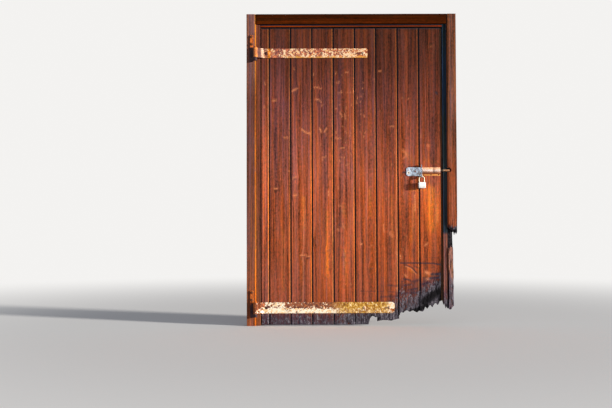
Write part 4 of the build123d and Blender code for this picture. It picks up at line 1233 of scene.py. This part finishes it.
# Coach bolts, by their distance from the pin, and coach screws, by their drop from the plate's top
BOLT_REACHES = (0.0705, 0.446, 0.716, 0.881)
BOLT_END_Y = 0.04
HOOK_PLATE_HEIGHT, HOOK_SCREW_DROPS = 0.178, (0.012, 0.062)
HOOK_PLATE_Y, HOOK_SCREW_END_Y = FRONT_Y - 0.006, 0.029
bolt_places = []
for side, count in (("top", 3), ("bottom", 4)):
    node = side + "_strap_bolts"
    places = [(PIN_X + reach, middle(node)) for reach in BOLT_REACHES[:count]]
    cups(side + "_coach_bolts", "leaf", strap_bolt_paint, node, places, LEAF_Y - BAND, BOLT_END_Y)
    bolt_places += [(x, LEDGE_Y, z) for x, z in places]
low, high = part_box("hook_screws")
places = [((low.x + high.x) / 2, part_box(node)[0].z + HOOK_PLATE_HEIGHT - drop)
          for node in ("top_hook", "bottom_hook") for drop in HOOK_SCREW_DROPS]
cups("hook_coach_screws", "frame", fastener_paint, "hook_screws", places, HOOK_PLATE_Y, HOOK_SCREW_END_Y)
turned("strap_nuts_and_washers", "leaf", fastener_paint, [(WASHER, 24), (NUT, 6)], bolt_places, INWARDS, 25)

# Countersunk screws of the ledges and braces, driven from the back
places = []
ledge_levels = [middle(node) for node in ("top_ledge", "middle_ledge", "bottom_ledge")]
for number in range(1, 10):
    low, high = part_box(f"board_{number}")
    for level in ledge_levels:
        for share, lift in ((0.28, 0.03), (0.72, -0.028)):
            x = low.x + (high.x - low.x) * (0.5 if number == 1 else share)
            rotted = level < 0.3 and x > 0.4 and lift < 0
            if not (number == 1 and lift < 0 or rotted or abs(x) > 0.56):
                places.append((x, LEDGE_Y, level + lift))
for node in ("lower_brace", "upper_brace"):
    low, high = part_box(node)
    for share in (0.08, 0.24, 0.4, 0.56, 0.72, 0.92):
        x = low.x + (high.x - low.x - BRACE_RUN) / 2 + share * BRACE_RUN
        places.append((x, LEDGE_Y, low.z + share * (high.z - low.z)))
turned("ledge_screws", "leaf", fastener_paint, [(COUNTERSUNK, 12)], places, INWARDS)

# Hooks, sliding bolt and padlock
for name, paint in hook_paints.items():
    dressed(name, name + "_iron", "hook_iron", paint, 0.001)
dressed("bolt_plate", "guide_plate", "guide_paint", guide_paint, 0.0006)
dressed("bolt_keepers", "keepers", "guide_paint", guide_paint, 0.0005)
dressed("bolt_rod", "rod", "rod_steel", rod_paint, 0.0005)
dressed("bolt_tail", "tail_and_lug", "tail_zinc", tail_paint, 0.0006)
dressed("lock_body", "padlock_body", "lock_metal", lock_paint, 0.0008)
dressed("lock_cylinder", "padlock_cylinder", "lock_brass", brass_paint, 0.0004)

# Shackle, turned a little on the lug. leg is half the distance between its legs, and depths are the
# levels of their points under the crown.
twist = math.radians(17)
sideways = np.array([math.cos(twist), math.sin(twist), 0])
crown = np.array([0.461, -0.033, 0.983])
leg = 0.01825
depths = (-0.051, -0.036, -0.027)
bow = [(leg * math.cos(a), -leg + leg * math.sin(a)) for a in np.linspace(math.pi, 0, 25)]
path = [(-leg, down) for down in depths] + bow + [(leg, down) for down in depths[::-1]]
path = [crown + sideways * a + np.array([0, 0, b]) for a, b in path]
piece("padlock_shackle", mesh_of("padlock_shackle", [tube(path, 0.00372)]), "padlock", "shackle_steel",
      shackle_paint, "shackle")

# Rivet of the tail plate and the screws of the guide plate
turned("tail_rivet", "bolt", rivet_paint, [(RIVET, 18)], [(0.4205, -0.0164, 1.0155)], OUTWARDS)
low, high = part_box("bolt_plate")
left, right, centre = low.x + 0.01, high.x - 0.01, (low.x + high.x) / 2
upper, lower = high.z - 0.006, low.z + 0.007
places = [(left, upper), (right, upper), (left, lower), (right, lower), (centre, lower)]
turned("guide_plate_screws", "leaf", fastener_paint, [(ROUND_HEAD, 14)], [(x, low.y, z) for x, z in places],
       OUTWARDS)


# Studio: pale floor that fades into the pale background, one soft key lamp from the right

FLOOR_RADIUS, FADE_START, FADE_END = 60, 1.6, 6.5
BACKDROP = (0.9, 0.89, 0.875, 1)
AMBIENT = (0.93, 0.97, 1.08, 1)
AMBIENT_STRENGTH = 0.27


def lit_or_seen(graph, kind):
    """Shows the backdrop's colour to the camera, in glossy reflections and through glass, and gives
    the ambient light otherwise."""
    path = graph.make("LightPath").outputs
    seen = path["Is Camera Ray"]
    for name in ("Is Glossy Ray", "Is Transmission Ray"):
        seen = graph.math("MAXIMUM", seen, path[name])
    lights = graph.make(kind, AMBIENT, AMBIENT_STRENGTH), graph.make(kind, BACKDROP, 1)
    return graph.make("MixShader", seen, *(light.outputs[0] for light in lights)).outputs[0]


scene.world = bpy.data.worlds.new("studio")
graph = Graph(scene.world, "OutputWorld")
graph.feed(graph.out, lit_or_seen(graph, "Background"))

floor_mesh = bpy.data.meshes.new("floor")
rim = FLOOR_RADIUS * circle(96, np.array([1, 0, 0]), np.array([0, 1, 0]))
floor_mesh.from_pydata(rim.tolist(), [], [list(range(96))])
floor = bpy.data.objects.new("floor", floor_mesh)
scene.collection.objects.link(floor)
floor_material = bpy.data.materials.new("floor")
graph = Graph(floor_material, "OutputMaterial")
lit = graph.make("BsdfDiffuse", (0.88, 0.87, 0.85, 1)).outputs[0]
place = graph.make("TexCoord").outputs["Object"]
away = graph.make("VectorMath", place, operation="LENGTH").outputs["Value"]
fade = graph.span(away, FADE_START, FADE_END)
mix = graph.make("MixShader", fade, lit, lit_or_seen(graph, "Emission"))
graph.feed(graph.out, mix.outputs[0])
floor_mesh.materials.append(floor_material)

key = bpy.data.lights.new("key", "SUN")
key.energy = 6.3
key.angle = math.radians(6)
key.color = (1, 0.965, 0.91)
lamp = bpy.data.objects.new("key", key)
lamp.rotation_mode = "QUATERNION"
lamp.rotation_quaternion = Vector((5.2, -2.2, 0.95)).to_track_quat("Z", "Y")
scene.collection.objects.link(lamp)
